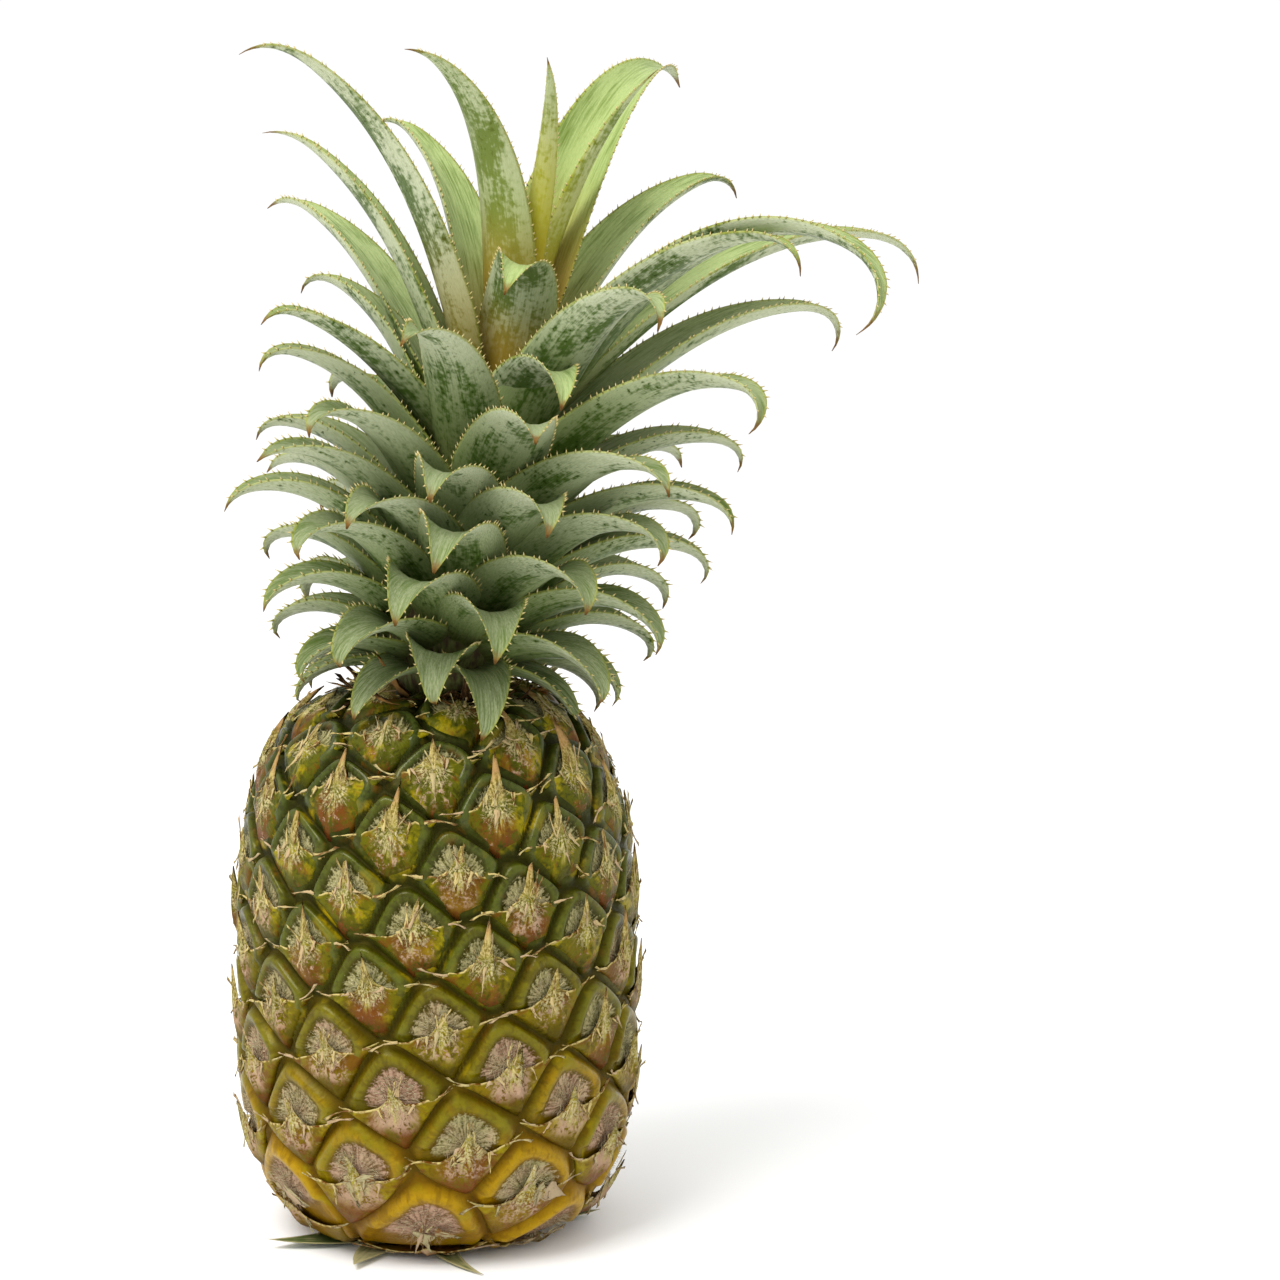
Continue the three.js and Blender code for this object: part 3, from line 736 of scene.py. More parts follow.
hair_finish, paint, hair_inputs = new_finish("pale_felt", {"Roughness": 0.8, "Specular IOR Level": 0.1})
height, tint, rise_in = paint.read("hair").parts()
felt = tint.ease(0.35, 0.95).blend(HAIR_WHITE, HAIR_GREY)
felt = ((rise_in + tint * 3).ease(0.5, -2.0) * (0.9 - height * 0.4)).blend(felt, HAIR_MAUVE)
felt = (height.ease(0.45, 0.1) * tint.ease(0.2, 0.6) * 0.6).blend(felt, HAIR_MAUVE)
wire_up(hair_inputs, {"Base Color": felt})

eye_hairs = add_piece("eye_hairs", gather(map(shape_hairs, range(eye_count))), hair_finish)
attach(eye_hairs, "root")
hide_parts("fruit")


# Bract shreds
# Dry strips that have split off the bracts: one that hangs down over each bract from the foot of its
# spike, strands beside the spike, frayed ends along the margin, a curled whisker at each corner, and
# longer torn ends among the lowest eyes.

SHRED_ROWS = 6
SHRED_THICKNESS = 0.25
SHRED_TAPER = 1.5
SHRED_RAGGED = 0.9
SHRED_NOTCH = 0.35
SHRED_SEEDS = {"strip": 90, "row": 17, "side": 5}
SHREDS_PER_EYE = 16
KEEL_SHRED = {
    "first": 0, "length": (4.0, 8.5), "width": (0.7, 1.8), "curl": (-0.4, 2.0), "bow": 1.2, "lift": 1.3,
}
KEEL_ROOT = -0.6
KEEL_LEAN = 0.9
WHISKER_SHRED = {
    "first": 1, "length": (4.5, 10.0), "width": (0.35, 0.8), "curl": (0.0, 1.8), "bow": 3.2, "lift": 0.8,
}
WHISKER_SIDES = np.array([-0.96, -0.72, 0.72, 0.96])
TORN_SHRED = {
    "first": 4, "length": (5.0, 11.0), "width": (2.4, 6.0), "curl": (-0.5, 3.0), "bow": 4.0, "lift": 0.8,
}
TORN_BELOW = 0.27
TORN_PER_EYE = 2
TORN_FIELD = 9
TORN_ROOT = -1.0
TORN_SPREAD = 3.4
FRAYED_SHRED = {
    "first": 6, "length": (2.0, 5.5), "width": (0.4, 1.2), "curl": (0.0, 1.6), "bow": 1.6, "lift": 1.2,
}
FRAYED_PER_EYE = 4
FRAYED_SIDES = (0.12, 0.46)
FRAYED_SPREAD = 1.9
STRAND_SHRED = {
    "first": 11, "length": (3.5, 7.5), "width": (0.4, 1.1), "curl": (0.3, 2.4), "bow": 1.8, "lift": 1.5,
}
STRANDS_PER_EYE = 3
STRAND_FIELD = 3.6
STRAND_ROOT = 0.2
STRAND_SPREAD = 1.3
QUARTER_TURN = math.pi / 2


def shape_strip(length, width, tints, place):
    """A dry strip that tapers to a point, laid by a rule for how far along and to its side a point is."""
    bm = bmesh.new()
    bmesh.ops.create_grid(bm, x_segments=2, y_segments=SHRED_ROWS, size=0.5)
    strip_layer = bm.verts.layers.float_vector.new("strip")
    tint_layer = bm.verts.layers.float_vector.new("plate")
    for vert in bm.verts:
        share = vert.co.y + 0.5
        seed = tints[1] * SHRED_SEEDS["strip"] + share * SHRED_SEEDS["row"] + vert.co.x * SHRED_SEEDS["side"]
        ragged = 1 + SHRED_RAGGED * (scatter(seed, 41) - 0.5)
        side = vert.co.x * width * (1 - share**SHRED_TAPER) * ragged
        vert.co = place(length * share * (1 - SHRED_NOTCH * abs(vert.co.x) * share), side, share**2)
        vert[strip_layer] = (side, share * length, 0)
        vert[tint_layer] = tints
    return bm


def eye_strip(index, kind, number, right, rise, angle):
    """A strip of one kind on an eye, from a place in its plane and along a direction there."""
    seed = index * SHREDS_PER_EYE + kind["first"] + number
    size = eye_sizes[index]
    level, upright = math.cos(angle), math.sin(angle)
    curl = between(kind["curl"], scatter(seed, 31))
    bow = kind["bow"] * (scatter(seed, 32) * 2 - 1)

    def place(far, side, bend):
        side = side + bow * bend
        point = eye_middles[index] + eye_right[index] * (right * size + far * level - side * upright)
        point = point + eye_rise[index] * (rise * size + far * upright + side * level)
        return on_fruit(point[None], np.array([kind["lift"] + curl * bend]))[0]

    tints = (eye_height[index], scatter(seed, 35), scatter(seed, 36))
    length = between(kind["length"], scatter(seed, 33))
    return shape_strip(length, between(kind["width"], scatter(seed, 34)), tints, place)


def shape_shreds(index):
    """The strips of one eye."""
    seed = index * SHREDS_PER_EYE
    size = eye_sizes[index]
    lean = (scatter(seed, 37) - 0.5) * KEEL_LEAN
    shreds = [eye_strip(index, KEEL_SHRED, 0, lean, KEEL_ROOT, lean - QUARTER_TURN)]
    margin = bract_margin(index, WHISKER_SIDES)[0] / size
    for k, (root, tip) in enumerate(((margin[1], margin[0]), (margin[2], margin[3]))):
        angle = math.atan2(tip[1] - root[1], tip[0] - root[0])
        shreds.append(eye_strip(index, WHISKER_SHRED, k, root[0], root[1], angle))
    for k in range(FRAYED_PER_EYE):
        side = between(FRAYED_SIDES, scatter(seed + k, 43)) * (1 if k % 2 else -1)
        root = bract_margin(index, np.array([side]))[0][0] / size
        angle = (scatter(seed + k, 44) - 0.5) * FRAYED_SPREAD - QUARTER_TURN
        shreds.append(eye_strip(index, FRAYED_SHRED, k, root[0], root[1], angle))
    for k in range(STRANDS_PER_EYE):
        right = (scatter(seed + k, 45) - 0.5) * STRAND_FIELD
        angle = (scatter(seed + k, 46) - 0.5) * STRAND_SPREAD + QUARTER_TURN
        shreds.append(eye_strip(index, STRAND_SHRED, k, right, STRAND_ROOT, angle))
    if eye_height[index] < TORN_BELOW:
        for k in range(TORN_PER_EYE):
            right = (scatter(seed + k, 39) - 0.5) * TORN_FIELD
            angle = (scatter(seed + k, 40) - 0.5) * TORN_SPREAD - QUARTER_TURN
            shreds.append(eye_strip(index, TORN_SHRED, k, right, TORN_ROOT, angle))
    return gather(shreds)


SHRED_GREY = srgb(160, 152, 114)
SHRED_BROWN = srgb(112, 78, 42)
DRY_MATTER = {"Roughness": 0.85, "Specular IOR Level": 0.1}

shred_finish, paint, shred_inputs = new_finish("dry_shred", DRY_MATTER)
side, length_along = paint.read("strip").parts()[:2]
height, tint, tint_other = paint.read("plate").parts()
lane = paint.point(side, length_along * 0.2, tint * 80)
fibre = paint.noise(lane, 2.4, 3)
dry = (tint * 0.6 + height.ease(0.3, 0.1) * 0.6).ease(0.1, 0.9).blend(STRAW, SHRED_GREY)
dry = (tint_other.ease(0.45, 0.95) * 0.7).blend(dry, SCURF_MAUVE)
wire_up(shred_inputs, {
    "Base Color": (fibre + (tint_other - 0.5) * 0.3).ease(0.5, 0.3).blend(dry, SHRED_BROWN),
    "Normal": fibre.bump(0.6, 0.4),
})

bract_shreds = add_piece("bract_shreds", gather(map(shape_shreds, range(eye_count))), shred_finish)
thicken(bract_shreds, SHRED_THICKNESS)
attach(bract_shreds, "root")
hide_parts("fruit")


# Crown stem
# The fleshy core that the crown's leaves grow from. It sits on the fruit's flat top, leans to the right
# as it rises, and shows only as shade between the lowest leaves.

STEM_LENGTH = 92
STEM_RADIUS = [14, 18, 20, 20, 19, 17, 14, 9, 3]
STEM_STEPS = 40
STEM_ROWS = 24
STEM_FOOT = 3
STEM_SLOPE = 0.12
STEM_BEND = 0.00085
NODE_GAP = 0.3


def along(values, share):
    """A smooth way through evenly spaced values, at a share of their length."""
    place = min(max(share, 0), 1) * (len(values) - 1)
    low = min(int(place), len(values) - 2)
    a, b = values[low], values[low + 1]
    before = values[max(low - 1, 0)]
    after = values[min(low + 2, len(values) - 1)]
    x = place - low
    rise_a = (b - before) / 2
    rise_b = (after - a) / 2
    return (
        a * (2 * x**3 - 3 * x**2 + 1) + b * (3 * x**2 - 2 * x**3)
        + rise_a * (x**3 - 2 * x**2 + x) + rise_b * (x**3 - x**2)
    )


def stem_axis(height):
    drift = STEM_FOOT + STEM_SLOPE * height + STEM_BEND * height**2
    return Vector((drift, 0, CROWN_SEAT + NODE_GAP + height))


stem_sides = [(along(STEM_RADIUS, i / STEM_ROWS), STEM_LENGTH * i / STEM_ROWS) for i in range(STEM_ROWS + 1)]
stem_bm = spin_outline([(0, 0)] + stem_sides + [(0, STEM_LENGTH)], STEM_STEPS)
for vert in stem_bm.verts:
    axis = stem_axis(vert.co.z)
    vert.co = (vert.co.x + axis.x, vert.co.y, axis.z)

STEM_GREEN = srgb(104, 110, 52)
STEM_BROWN = srgb(66, 48, 22)

stem_finish, paint, stem_inputs = new_finish("stem_flesh", {"Roughness": 0.7})
place = paint.place()
fibre = paint.noise(paint.stretch(place, (1, 1, 0.2)), 700, 4)
wire_up(stem_inputs, {
    "Base Color": fibre.ease(0.35, 0.65).blend(STEM_BROWN, STEM_GREEN),
    "Normal": fibre.bump(0.5, 0.4),
})

crown_stem = add_piece("crown_stem", stem_bm, stem_finish)
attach(crown_stem, "root")
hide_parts("crown")


# Crown leaves
# Stiff, channelled leaves that stand round the stem in a spiral, the youngest in the heart. Their backs carry
# a silvery bloom that rubs off in dark green streaks; their margins are yellow and their tips dry to brown.

LEAF_COUNT = 80
YOUNGEST_LEAF_TURN = -15
LEAF_ANGLE = -137.5
STEM_COLLAR = 5
LEAF_CROWDING = 1.75
LEAF_LENGTH = [98, 108, 112, 92, 76, 72, 70, 68, 64, 57, 49, 42, 36]
LEAF_WIDTH = [9, 18, 25, 28, 30, 31, 31, 31, 30, 28, 25, 21, 16]
LEAF_START = [4, 13, 19, 28, 38, 40, 41, 40, 43, 50, 60, 72, 86]
LEAF_END = [10, 72, 96, 104, 108, 114, 122, 132, 142, 152, 162, 172, 180]
LEAF_OUTLINE = [0.4, 0.78, 1, 0.98, 0.92, 0.82, 0.68, 0.5, 0.28, 0.02]
LEAF_FOLDS = [75, 55, 55, 60]
LEAF_RECURVE = 2
LEAF_THICKNESS = [1.7, 1.5, 1.2, 0.8]
LEAF_HOOK = {"from": 0.8, "bend": (20, 120), "growth": 8}
LEAF_WANDER = {"length": 0.12, "start": 5, "end": 14, "turn": 9, "sway": 16}
LEANWARD = {"length": 9, "start": -5}
LEAF_STEPS = 48
LEAF_ROOT_SHARE = 0.7
SHOULDER_CLEARANCE = 4.6
BLADE_COLUMNS = 16
BLADE_ROW_SPACING = 2.2
BLADE_LEAST_ROWS = 18
BLADE_MERGE = 0.01
TIP_THINNING = 8
LEAF_TIERS = {"heart_leaves": (0, 12), "middle_leaves": (12, 40), "low_leaves": (40, 80)}

# Leaves that differ from the rule, with their own turn, length, start, end, sway and, for some, width
OWN_WAY = ("turn", "length", "start", "end", "sway", "width")
LEAF_OWN_WAYS = {
    0: (-11, 108, 15, 70, 0),
    1: (-150, 70, 6, 20, 0),
    2: (70, 100, 0, 30, 0, 13),
    3: (-44, 120, 16, 88, 8, 25),
    4: (162, 146, 0, 114, -6, 26),
    5: (-6, 72, 10, 150, 0, 26),
    6: (-130, 106, 24, 84, 0, 25),
    7: (126, 110, 15, 80, 4, 26),
    8: (-74, 134, 26, 84, 10, 26),
    9: (-172, 80, 12, 50, 0),
    10: (52, 122, 27, 96, 0),
    11: (-94, 108, 30, 77, -5),
    12: (110, 152, 31, 105, 3),
    13: (20, 62, 26, 150, 0),
    14: (-124, 116, 43, 94, -12),
    15: (62, 170, 21, 150, -26),
    16: (-64, 78, 48, 95, 8),
    19: (-104, 78, 28, 92, 0),
    20: (110, 128, 33, 100, 12),
    23: (56, 112, 37, 114, -24),
}


def leaf_traits(index):
    """What one leaf is like: the rule for its age with a little wander, or its own ways."""
    age = index / (LEAF_COUNT - 1)

    def wander(salt):
        return (scatter(index, salt) * 2 - 1) * age

    turn = YOUNGEST_LEAF_TURN + index * LEAF_ANGLE + LEAF_WANDER["turn"] * wander(1)
    leanward = math.sin(math.radians(turn)) * (1 - age)
    length = along(LEAF_LENGTH, age) * (1 + LEAF_WANDER["length"] * wander(2))
    start = along(LEAF_START, age) + LEAF_WANDER["start"] * wander(3)
    rule = {
        "age": age,
        "height": STEM_COLLAR + (STEM_LENGTH - STEM_COLLAR) * (1 - age) ** LEAF_CROWDING,
        "width": along(LEAF_WIDTH, age),
        "turn": turn,
        "length": length + LEANWARD["length"] * leanward,
        "start": start + LEANWARD["start"] * leanward,
        "end": along(LEAF_END, age) + LEAF_WANDER["end"] * wander(4),
        "sway": LEAF_WANDER["sway"] * wander(5),
        "hook": between(LEAF_HOOK["bend"], scatter(index, 8)) * min(age * LEAF_HOOK["growth"], 1),
        "folds": LEAF_FOLDS,
        "thickness": LEAF_THICKNESS,
    }
    return {**rule, **dict(zip(OWN_WAY, LEAF_OWN_WAYS.get(index, ())))}


def fruit_top_over(radius):
    """How high the fruit's form is, so far from its axis."""
    share = min(radius / FRUIT_RADIUS, 1) ** FRUIT_ABOVE["roundness"]
    return FRUIT_WIDEST + FRUIT_ABOVE["reach"] * (1 - share) ** (1 / FRUIT_ABOVE["roundness"])


def trace_leaf(traits):
    """A leaf's centre line: points with the directions along it, to its side and out of its upper face."""
    foot = stem_axis(traits["height"])
    axis = (stem_axis(traits["height"] + 1) - foot).normalized()
    outward = Vector(bearing(traits["turn"]))
    outward = (outward - axis * outward.dot(axis)).normalized()
    across = axis.cross(outward)
    stem_radius = along(STEM_RADIUS, traits["height"] / STEM_LENGTH)
    point = foot + outward * stem_radius * LEAF_ROOT_SHARE
    line = []
    for i in range(LEAF_STEPS + 1):
        share = i / LEAF_STEPS
        bend = share**LEAF_RECURVE
        hook = traits["hook"] * max((share - LEAF_HOOK["from"]) / (1 - LEAF_HOOK["from"]), 0) ** 2
        lean = math.radians(traits["start"] + (traits["end"] - traits["start"]) * bend + hook)
        forward = outward * math.sin(lean) + axis * math.cos(lean)
        face = forward.cross(across)
        drift = Quaternion(face, math.radians(traits["sway"]) * share**2)
        heading = drift @ forward
        line.append((point.copy(), heading, drift @ across, face))
        point = point + heading * traits["length"] / LEAF_STEPS
        point.z = max(point.z, fruit_top_over(math.hypot(point.x, point.y)) + SHOULDER_CLEARANCE)
    return line


def leaf_frame(line, share):
    """The centre line's point and directions at a share of its length."""
    place = min(max(share, 0), 1) * LEAF_STEPS
    low = min(int(place), LEAF_STEPS - 1)
    return [a.lerp(b, place - low) for a, b in zip(line[low], line[low + 1])]


def leaf_section(traits, line, share):
    """The blade's section at a share of its length: its frame, its half width and how far it is folded."""
    point, heading, side, face = leaf_frame(line, share)
    return {
        "point": point,
        "heading": heading,
        "side": side,
        "face": face,
        "half": traits["width"] / 2 * along(LEAF_OUTLINE, share),
        "fold": math.radians(along(traits["folds"], share)),
    }


def blade_point(section, across, lift):
    """A point of a section: -1 to 1 across it between the margins, and lifted out of its upper face."""
    curl = section["fold"] * across
    arc = section["half"] / section["fold"]
    out_of_face = section["face"] * math.cos(curl) - section["side"] * math.sin(curl)
    level = section["side"] * arc * math.sin(curl) + section["face"] * arc * (1 - math.cos(curl))
    return section["point"] + level + out_of_face * lift


def shape_blade(traits, line, seed):
    """One closed blade, wrapped from a grid round its section and run out to a point."""
    rows = max(round(traits["length"] / BLADE_ROW_SPACING), BLADE_LEAST_ROWS)
    bm = bmesh.new()
    bmesh.ops.create_grid(bm, x_segments=BLADE_COLUMNS, y_segments=rows, size=0.5)
    blade_layer = bm.verts.layers.float_vector.new("blade")
    leaf_layer = bm.verts.layers.float_vector.new("leaf")
    share_layer = bm.verts.layers.float.new("share")
    sections = {}
    for vert in bm.verts:
        round_it = math.tau * (vert.co.x + 0.5)
        share = vert.co.y + 0.5
        across = -math.cos(round_it)
        upper = math.sin(round_it)
        if share not in sections:
            sections[share] = leaf_section(traits, line, share)
        lift = upper * along(traits["thickness"], share) / 2 * (1 - share**TIP_THINNING)
        half = sections[share]["half"]
        vert.co = blade_point(sections[share], across, lift)
        vert[blade_layer] = (across * half, share * traits["length"], half * (1 - abs(across)))
        vert[leaf_layer] = (traits["age"], scatter(seed, 7), 0.5 + upper / 2)
        vert[share_layer] = share
    bmesh.ops.remove_doubles(bm, verts=bm.verts, dist=BLADE_MERGE)
    bmesh.ops.holes_fill(bm, edges=[edge for edge in bm.edges if edge.is_boundary], sides=0)
    bmesh.ops.recalc_face_normals(bm, faces=bm.faces)
    return bm


def shape_leaf(index):
    traits = leaf_traits(index)
    return shape_blade(traits, trace_leaf(traits), index)


BACK_BLOOM = srgb(124, 138, 88)
BACK_GREEN = srgb(54, 82, 10)
BACK_FLECK = srgb(26, 42, 4)
# The back's paler bloom, with painted light for tips and young leaves that stand clear of the crown's shade.
OUTER_BLOOM_AND_LIGHT = srgb(184, 190, 160)
FACE_YOUNG = srgb(166, 182, 122)
FACE_OLD = srgb(146, 154, 118)
FACE_GREEN = srgb(78, 102, 34)
HEART_GREEN = srgb(144, 164, 72)
HEART_PEACH = srgb(206, 152, 56)
LEAF_MARGIN = srgb(150, 154, 52)
# The leaf's foot: its own yellower tone, darkened by painted shade inside the crown.
LEAF_FOOT_AND_SHADE = srgb(98, 92, 28)
HEART_YELLOW = srgb(188, 176, 48)
OLD_SHADE = srgb(40, 52, 16)
TIP_BROWN = srgb(112, 80, 40)

leaf_finish, paint, leaf_inputs = new_finish("spiny_leaf", SHEEN)
place = paint.place()
across, length_along, to_margin = paint.read("blade").parts()
age, tint, facing = paint.read("leaf").parts()
share = paint.read("share", "Fac")
lane = paint.point(across, length_along * 0.05, tint * 90)
stria = paint.noise(lane, 1.9, 3)
fine = paint.noise(paint.stretch(lane, (1, 3, 1)), 5.0, 2)
rub_lane = paint.point(across * 0.14, length_along * 0.045, tint * 70)
rub = paint.noise(rub_lane, 1.0, 3, 0.6)
speck = paint.noise(place, 620, 3)
worn = rub + to_margin.ease(1.0, 7.0) * 0.16 + age.ease(0.4, 0.1) * 0.15 - 0.14
back_rubbed = (worn + (speck - 0.5) * 0.8 + (stria - 0.5) * 0.5).ease(0.44, 0.76) * 0.9
# The back grows paler towards the tip and on the youngest leaves: partly the bloom's own paleness, partly
# painted light where they stand clear of the crown's shade.
bloom_and_light = (share + (1 - age.ease(0.05, 0.3)) * 0.3).ease(0.25, 0.85).blend(BACK_BLOOM, OUTER_BLOOM_AND_LIGHT)
back = back_rubbed.blend(bloom_and_light, BACK_GREEN)
back = ((speck + (rub - 0.5) * 0.4).ease(0.66, 0.74) * 0.8).blend(back, BACK_FLECK)
face = age.ease(0.1, 0.35).blend(FACE_YOUNG, FACE_OLD)
face = (stria * 0.6 + rub * 0.6).ease(0.5, 0.9).blend(face, FACE_GREEN)
upper = facing.ease(0.45, 0.55)
skin = upper.blend(back, face)
skin = (fine.ease(0.38, 0.66) * (0.22 + age.ease(0.2, 0.8) * 0.3)).blend(skin, FACE_GREEN)
young = age.ease(0.1, 0.0)
skin = (young * (0.3 + share.ease(0.75, 0.1) * 0.5)).blend(skin, HEART_GREEN)
skin = (age.ease(0.045, 0.01) * share.ease(0.95, 0.3) * 0.8).blend(skin, HEART_YELLOW)
skin = (age.ease(0.16, 0.02) * share.ease(0.5, 0.1) * 0.8).blend(skin, HEART_PEACH)
# Each leaf turns a darker yellow-olive at its foot: the yellow is its own tone, the darkness is painted shade
# inside the crown.
skin = (share.ease(0.3, 0.08) * 0.5).blend(skin, LEAF_FOOT_AND_SHADE)
skin = (to_margin.ease(0.9, 0.25) * 0.55).blend(skin, LEAF_MARGIN)
skin = (age.ease(0.6, 1.0) * (0.06 + stria.ease(0.4, 0.6) * 0.3)).blend(skin, OLD_SHADE)
dry_tip = (share + (speck - 0.5) * 0.06).ease(0.93, 0.985)
colour = dry_tip.blend(skin, TIP_BROWN)
wire_up(leaf_inputs, {
    "Base Color": colour,
    "Roughness": 0.5 + (stria - 0.5) * 0.25 - back_rubbed * 0.12,
    "Normal": (stria * 0.7 + fine * 0.3 + speck * 0.15).bump(0.45, 0.35),
})

for tier, (first, last) in LEAF_TIERS.items():
    leaves = add_piece(tier, gather(map(shape_leaf, range(first, last))), leaf_finish)
    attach(leaves, "root")
    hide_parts("crown")


# Leaf spines
# Hard little thorns along both margins of every leaf, which lean towards its tip. They are one with
# the margin, yellow at the root and tan at the point.

SPINE_SPACING = 2.4
SPINE_LENGTH = (0.8, 1.6)
SPINE_RADIUS = 0.36
SPINE_GROWTH = (0.75, 1.5)
SPINE_SIDES = 4
SPINE_SHARES = (0.1, 0.95)
SPINE_LEAN = 0.75
SPINE_SINK = 0.35
SPINE_STRAY = 0.6
SPINE_SEEDS = 500
MARGIN_INSIDE = 0.9
FULL_SPINE_HALF = 3


def shape_spines(index):
    """The thorns of one leaf."""
    traits = leaf_traits(index)
    line = trace_leaf(traits)
    count = round((SPINE_SHARES[1] - SPINE_SHARES[0]) * traits["length"] / SPINE_SPACING)
    bm = bmesh.new()
    spine_layer = bm.verts.layers.float.new("spine")
    for k in range(count):
        for way in (-1, 1):
            seed = index * SPINE_SEEDS + k * 2 + way
            spot = (k + 0.5 + (scatter(seed, 21) - 0.5) * SPINE_STRAY) / count
            section = leaf_section(traits, line, between(SPINE_SHARES, spot))
            margin = blade_point(section, way, 0)
            outward = (margin - blade_point(section, way * MARGIN_INSIDE, 0)).normalized()
            heading = section["heading"] * SPINE_LEAN + outward
            length = between(SPINE_LENGTH, scatter(seed, 22)) * between(SPINE_GROWTH, traits["age"])
            length = length * min(1, section["half"] / FULL_SPINE_HALF)
            root = margin - outward * SPINE_SINK
            verts = grow_spike(bm, root, heading, length + SPINE_SINK, SPINE_RADIUS, SPINE_SIDES)
            for vert in verts:
                vert[spine_layer] = (vert.co - root).length / length
    return bm


SPINE_ROOT = srgb(150, 156, 72)
SPINE_POINT = srgb(196, 176, 118)

spine_finish, paint, spine_inputs = new_finish("thorn", {"Roughness": 0.45})
to_point = paint.read("spine", "Fac")
wire_up(spine_inputs, {"Base Color": to_point.ease(0.2, 0.9).blend(SPINE_ROOT, SPINE_POINT)})

leaf_spines = add_piece("leaf_spines", gather(map(shape_spines, range(LEAF_COUNT))), spine_finish)
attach(leaf_spines, "root")
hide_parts("crown")


# Neck scraps
# Withered brown ends of the oldest leaves and bracts, which fill the dark gap between crown and fruit.
# They are papery and still fixed at the neck.

SCRAP_COUNT = 64
SCRAP = {"length": (6.0, 16.0), "width": (1.6, 4.6), "curl": (-3.0, 5.0), "climb": (-0.1, 0.9)}
NECK_RADIUS = (17, 25)
SCRAP_SINK = 1.0


def shape_scrap(index):
    turn = index * GOLDEN_ANGLE
    outward = bearing(turn)
    sideways = np.cross(UP, outward)
    radius = between(NECK_RADIUS, scatter(index, 51))
    root = outward * radius + UP * (fruit_top_over(radius) - SCRAP_SINK)
    root = root + np.array([STEM_FOOT, 0, 0])
    heading = outward + UP * between(SCRAP["climb"], scatter(index, 52))
    heading = heading + sideways * (scatter(index, 53) - 0.5)
    heading = heading / np.linalg.norm(heading)
    curl = between(SCRAP["curl"], scatter(index, 54))

    def place(far, side, bend):
        return root + heading * far + sideways * side + UP * curl * bend

    tints = (scatter(index, 55), scatter(index, 56), scatter(index, 57))
    length = between(SCRAP["length"], scatter(index, 58))
    return shape_strip(length, between(SCRAP["width"], scatter(index, 59)), tints, place)


SCRAP_TAN = srgb(146, 108, 60)
SCRAP_DARK = srgb(52, 34, 16)

scrap_finish, paint, scrap_inputs = new_finish("withered_leaf", DRY_MATTER)
side, length_along = paint.read("strip").parts()[:2]
tint = paint.read("plate").parts()[0]
lane = paint.point(side, length_along * 0.2, tint * 80)
fibre = paint.noise(lane, 1.6, 3)
wire_up(scrap_inputs, {
    "Base Color": (fibre + (tint - 0.5) * 0.6).ease(0.35, 0.75).blend(SCRAP_DARK, SCRAP_TAN),
    "Normal": fibre.bump(0.6, 0.5),
})

neck_scraps = add_piece("neck_scraps", gather(map(shape_scrap, range(SCRAP_COUNT))), scrap_finish)
thicken(neck_scraps, SHRED_THICKNESS)
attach(neck_scraps, "root")
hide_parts("crown")


# Stalk
# The short cut end that the fruit was picked with. It is woody and fibrous, grows into the fruit's
# underside, and the fruit stands on its cut face.

STALK_RADIUS = 15
STALK_STEPS = 64
STALK_BEVEL = 0.6

stalk_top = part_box("stalk")[1].z / MILLIMETRE
cut_edge = [(STALK_RADIUS - STALK_BEVEL, 0), (STALK_RADIUS, STALK_BEVEL)]
stalk_bm = spin_outline([(0, 0)] + cut_edge + [(STALK_RADIUS, stalk_top), (0, stalk_top)], STALK_STEPS)

STALK_STRAW = srgb(176, 156, 104)
STALK_BROWN = srgb(104, 78, 44)

stalk_finish, paint, stalk_inputs = new_finish("woody_stalk", {"Roughness": 0.85})
place = paint.place()
fibre = paint.noise(paint.stretch(place, (1, 1, 0.15)), 900, 4)
wire_up(stalk_inputs, {
    "Base Color": fibre.ease(0.35, 0.65).blend(STALK_BROWN, STALK_STRAW),
    "Normal": fibre.bump(0.7, 0.5),
})

cut_stalk = add_piece("cut_stalk", stalk_bm, stalk_finish)
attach(cut_stalk, "root")
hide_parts("stalk")


# Basal bracts
# The old leaves at the foot of the stalk, pressed flat between the fruit and the floor. Green turning to dry,
# they stick out from under the fruit, and some of their tips curl.

BASAL_COUNT = 9
FIRST_BASAL_TURN = -50
BASAL_REACH = (34, 50)
BASAL_WIDTH = 13
BASAL_FOLDS = [8, 8, 12, 20]
BASAL_THICKNESS = [1.1, 1.1, 0.9, 0.5]
BASAL_LIFT = 0.62
BASAL_CURL = (-0.2, 4.0)
BASAL_CURL_POWER = 4
BASAL_BOW = 9
BASAL_BOW_POWER = 3
BASAL_OWN_WAYS = {
    0: {"reach": 55, "width": 17, "curl": 2.5},
    3: {"reach": 54, "width": 9, "bow": 13, "curl": 0},
    8: {"reach": 53, "curl": 1.5},
}


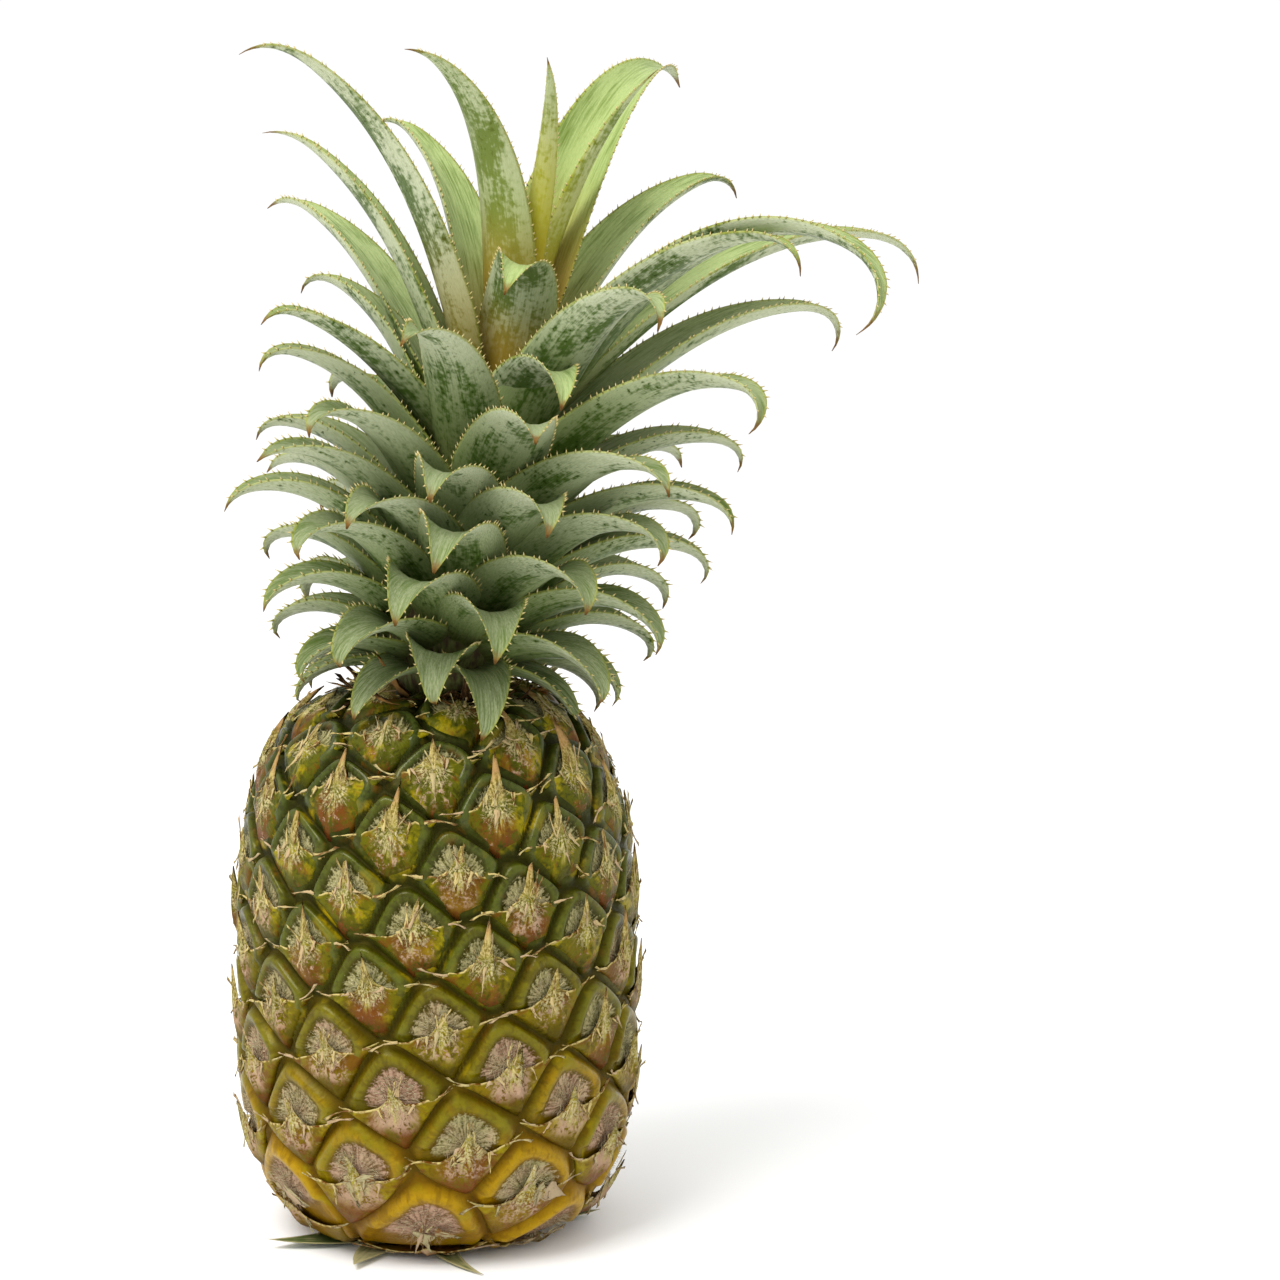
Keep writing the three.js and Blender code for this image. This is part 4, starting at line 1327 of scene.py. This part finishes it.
def shape_basal(index):
    outward = Vector(bearing(FIRST_BASAL_TURN + index * GOLDEN_ANGLE))
    upright = Vector(UP)
    across = upright.cross(outward)
    root = STALK_RADIUS * LEAF_ROOT_SHARE
    rule = {
        "reach": between(BASAL_REACH, scatter(index, 6)),
        "width": BASAL_WIDTH,
        "curl": max(between(BASAL_CURL, scatter(index, 61)), 0),
        "bow": BASAL_BOW * (scatter(index, 62) * 2 - 1),
    }
    way = {**rule, **BASAL_OWN_WAYS.get(index, {})}
    length = way["reach"] - root
    line = []
    for i in range(LEAF_STEPS + 1):
        share = i / LEAF_STEPS
        rise = BASAL_LIFT + way["curl"] * share**BASAL_CURL_POWER
        bow = way["bow"] * share**BASAL_BOW_POWER
        point = outward * (root + length * share) + across * bow + upright * rise
        line.append((point, outward, across, upright))
    traits = {
        "age": 1, "length": length, "width": way["width"], "folds": BASAL_FOLDS, "thickness": BASAL_THICKNESS,
    }
    return shape_blade(traits, line, index)


BASAL_GREEN = srgb(70, 88, 32)
BASAL_DRY = srgb(164, 156, 112)
WITHERED = {"Roughness": 0.7, "Specular IOR Level": 0.15}

basal_finish, paint, basal_inputs = new_finish("withered_bract", WITHERED)
place = paint.place()
across, length_along, to_margin = paint.read("blade").parts()
tint = paint.read("leaf").parts()[1]
share = paint.read("share", "Fac")
lane = paint.point(across, length_along * 0.06, tint * 90)
stria = paint.noise(lane, 1.6, 3)
mottle = paint.noise(place, 240)
faded = stria * 0.5 + mottle * 0.5 + share * 0.3 + to_margin.ease(1.2, 0.2) * 0.3 + (tint - 0.5) * 0.3
wire_up(basal_inputs, {
    "Base Color": faded.ease(0.55, 0.95).blend(BASAL_GREEN, BASAL_DRY),
    "Normal": (stria * 0.7 + mottle * 0.3).bump(0.5, 0.4),
})

basal_bracts = add_piece("basal_bracts", gather(map(shape_basal, range(BASAL_COUNT))), basal_finish)
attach(basal_bracts, "root")
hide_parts("stalk")


# Studio
# A plain pale floor that the fruit stands on, a white surround, one broad soft light from the upper left,
# and a camera that looks a little down on the fruit.

FLOOR_SIZE = 4
FLOOR_PALE = srgb(253, 253, 252)
SURROUND = {"Color": (1, 1, 1, 1), "Strength": 1.03}
KEY_ENERGY = 24
KEY_SIZE = 0.9
KEY_PLACE = Vector((-0.6, -0.75, 1.5))
KEY_AIM = Vector((0.02, 0, 0.15))

floor_bm = bmesh.new()
bmesh.ops.create_grid(floor_bm, x_segments=1, y_segments=1, size=FLOOR_SIZE / MILLIMETRE)
floor_finish = new_finish("pale_floor", {"Base Color": FLOOR_PALE, "Roughness": 0.6})[0]
floor = add_piece("floor", floor_bm, floor_finish)

world = bpy.data.worlds.new("white_surround")
world.use_nodes = True
for socket, value in SURROUND.items():
    world.node_tree.nodes["Background"].inputs[socket].default_value = value
bpy.context.scene.world = world

key_light = bpy.data.lights.new("key", "AREA")
key_light.energy = KEY_ENERGY
key_light.size = KEY_SIZE
key = bpy.data.objects.new("key", key_light)
key.location = KEY_PLACE
key.rotation_euler = (KEY_AIM - KEY_PLACE).to_track_quat("-Z", "Y").to_euler()
bpy.context.scene.collection.objects.link(key)

CAMERA_LENS = 100
CAMERA_SENSOR = 36
CAMERA_DISTANCE = 1.024
CAMERA_ELEVATION = 8
CAMERA_AIM = Vector((0.059, 0, 0.1725))

elevation = math.radians(CAMERA_ELEVATION)
camera_data = bpy.data.cameras.new("camera")
camera_data.lens = CAMERA_LENS
camera_data.sensor_width = CAMERA_SENSOR
camera = bpy.data.objects.new("camera", camera_data)
camera.location = CAMERA_AIM + CAMERA_DISTANCE * Vector((0, -math.cos(elevation), math.sin(elevation)))
camera.rotation_euler = (math.pi / 2 - elevation, 0, 0)
bpy.context.scene.collection.objects.link(camera)
bpy.context.scene.camera = camera
bpy.context.scene.view_settings.view_transform = "Standard"
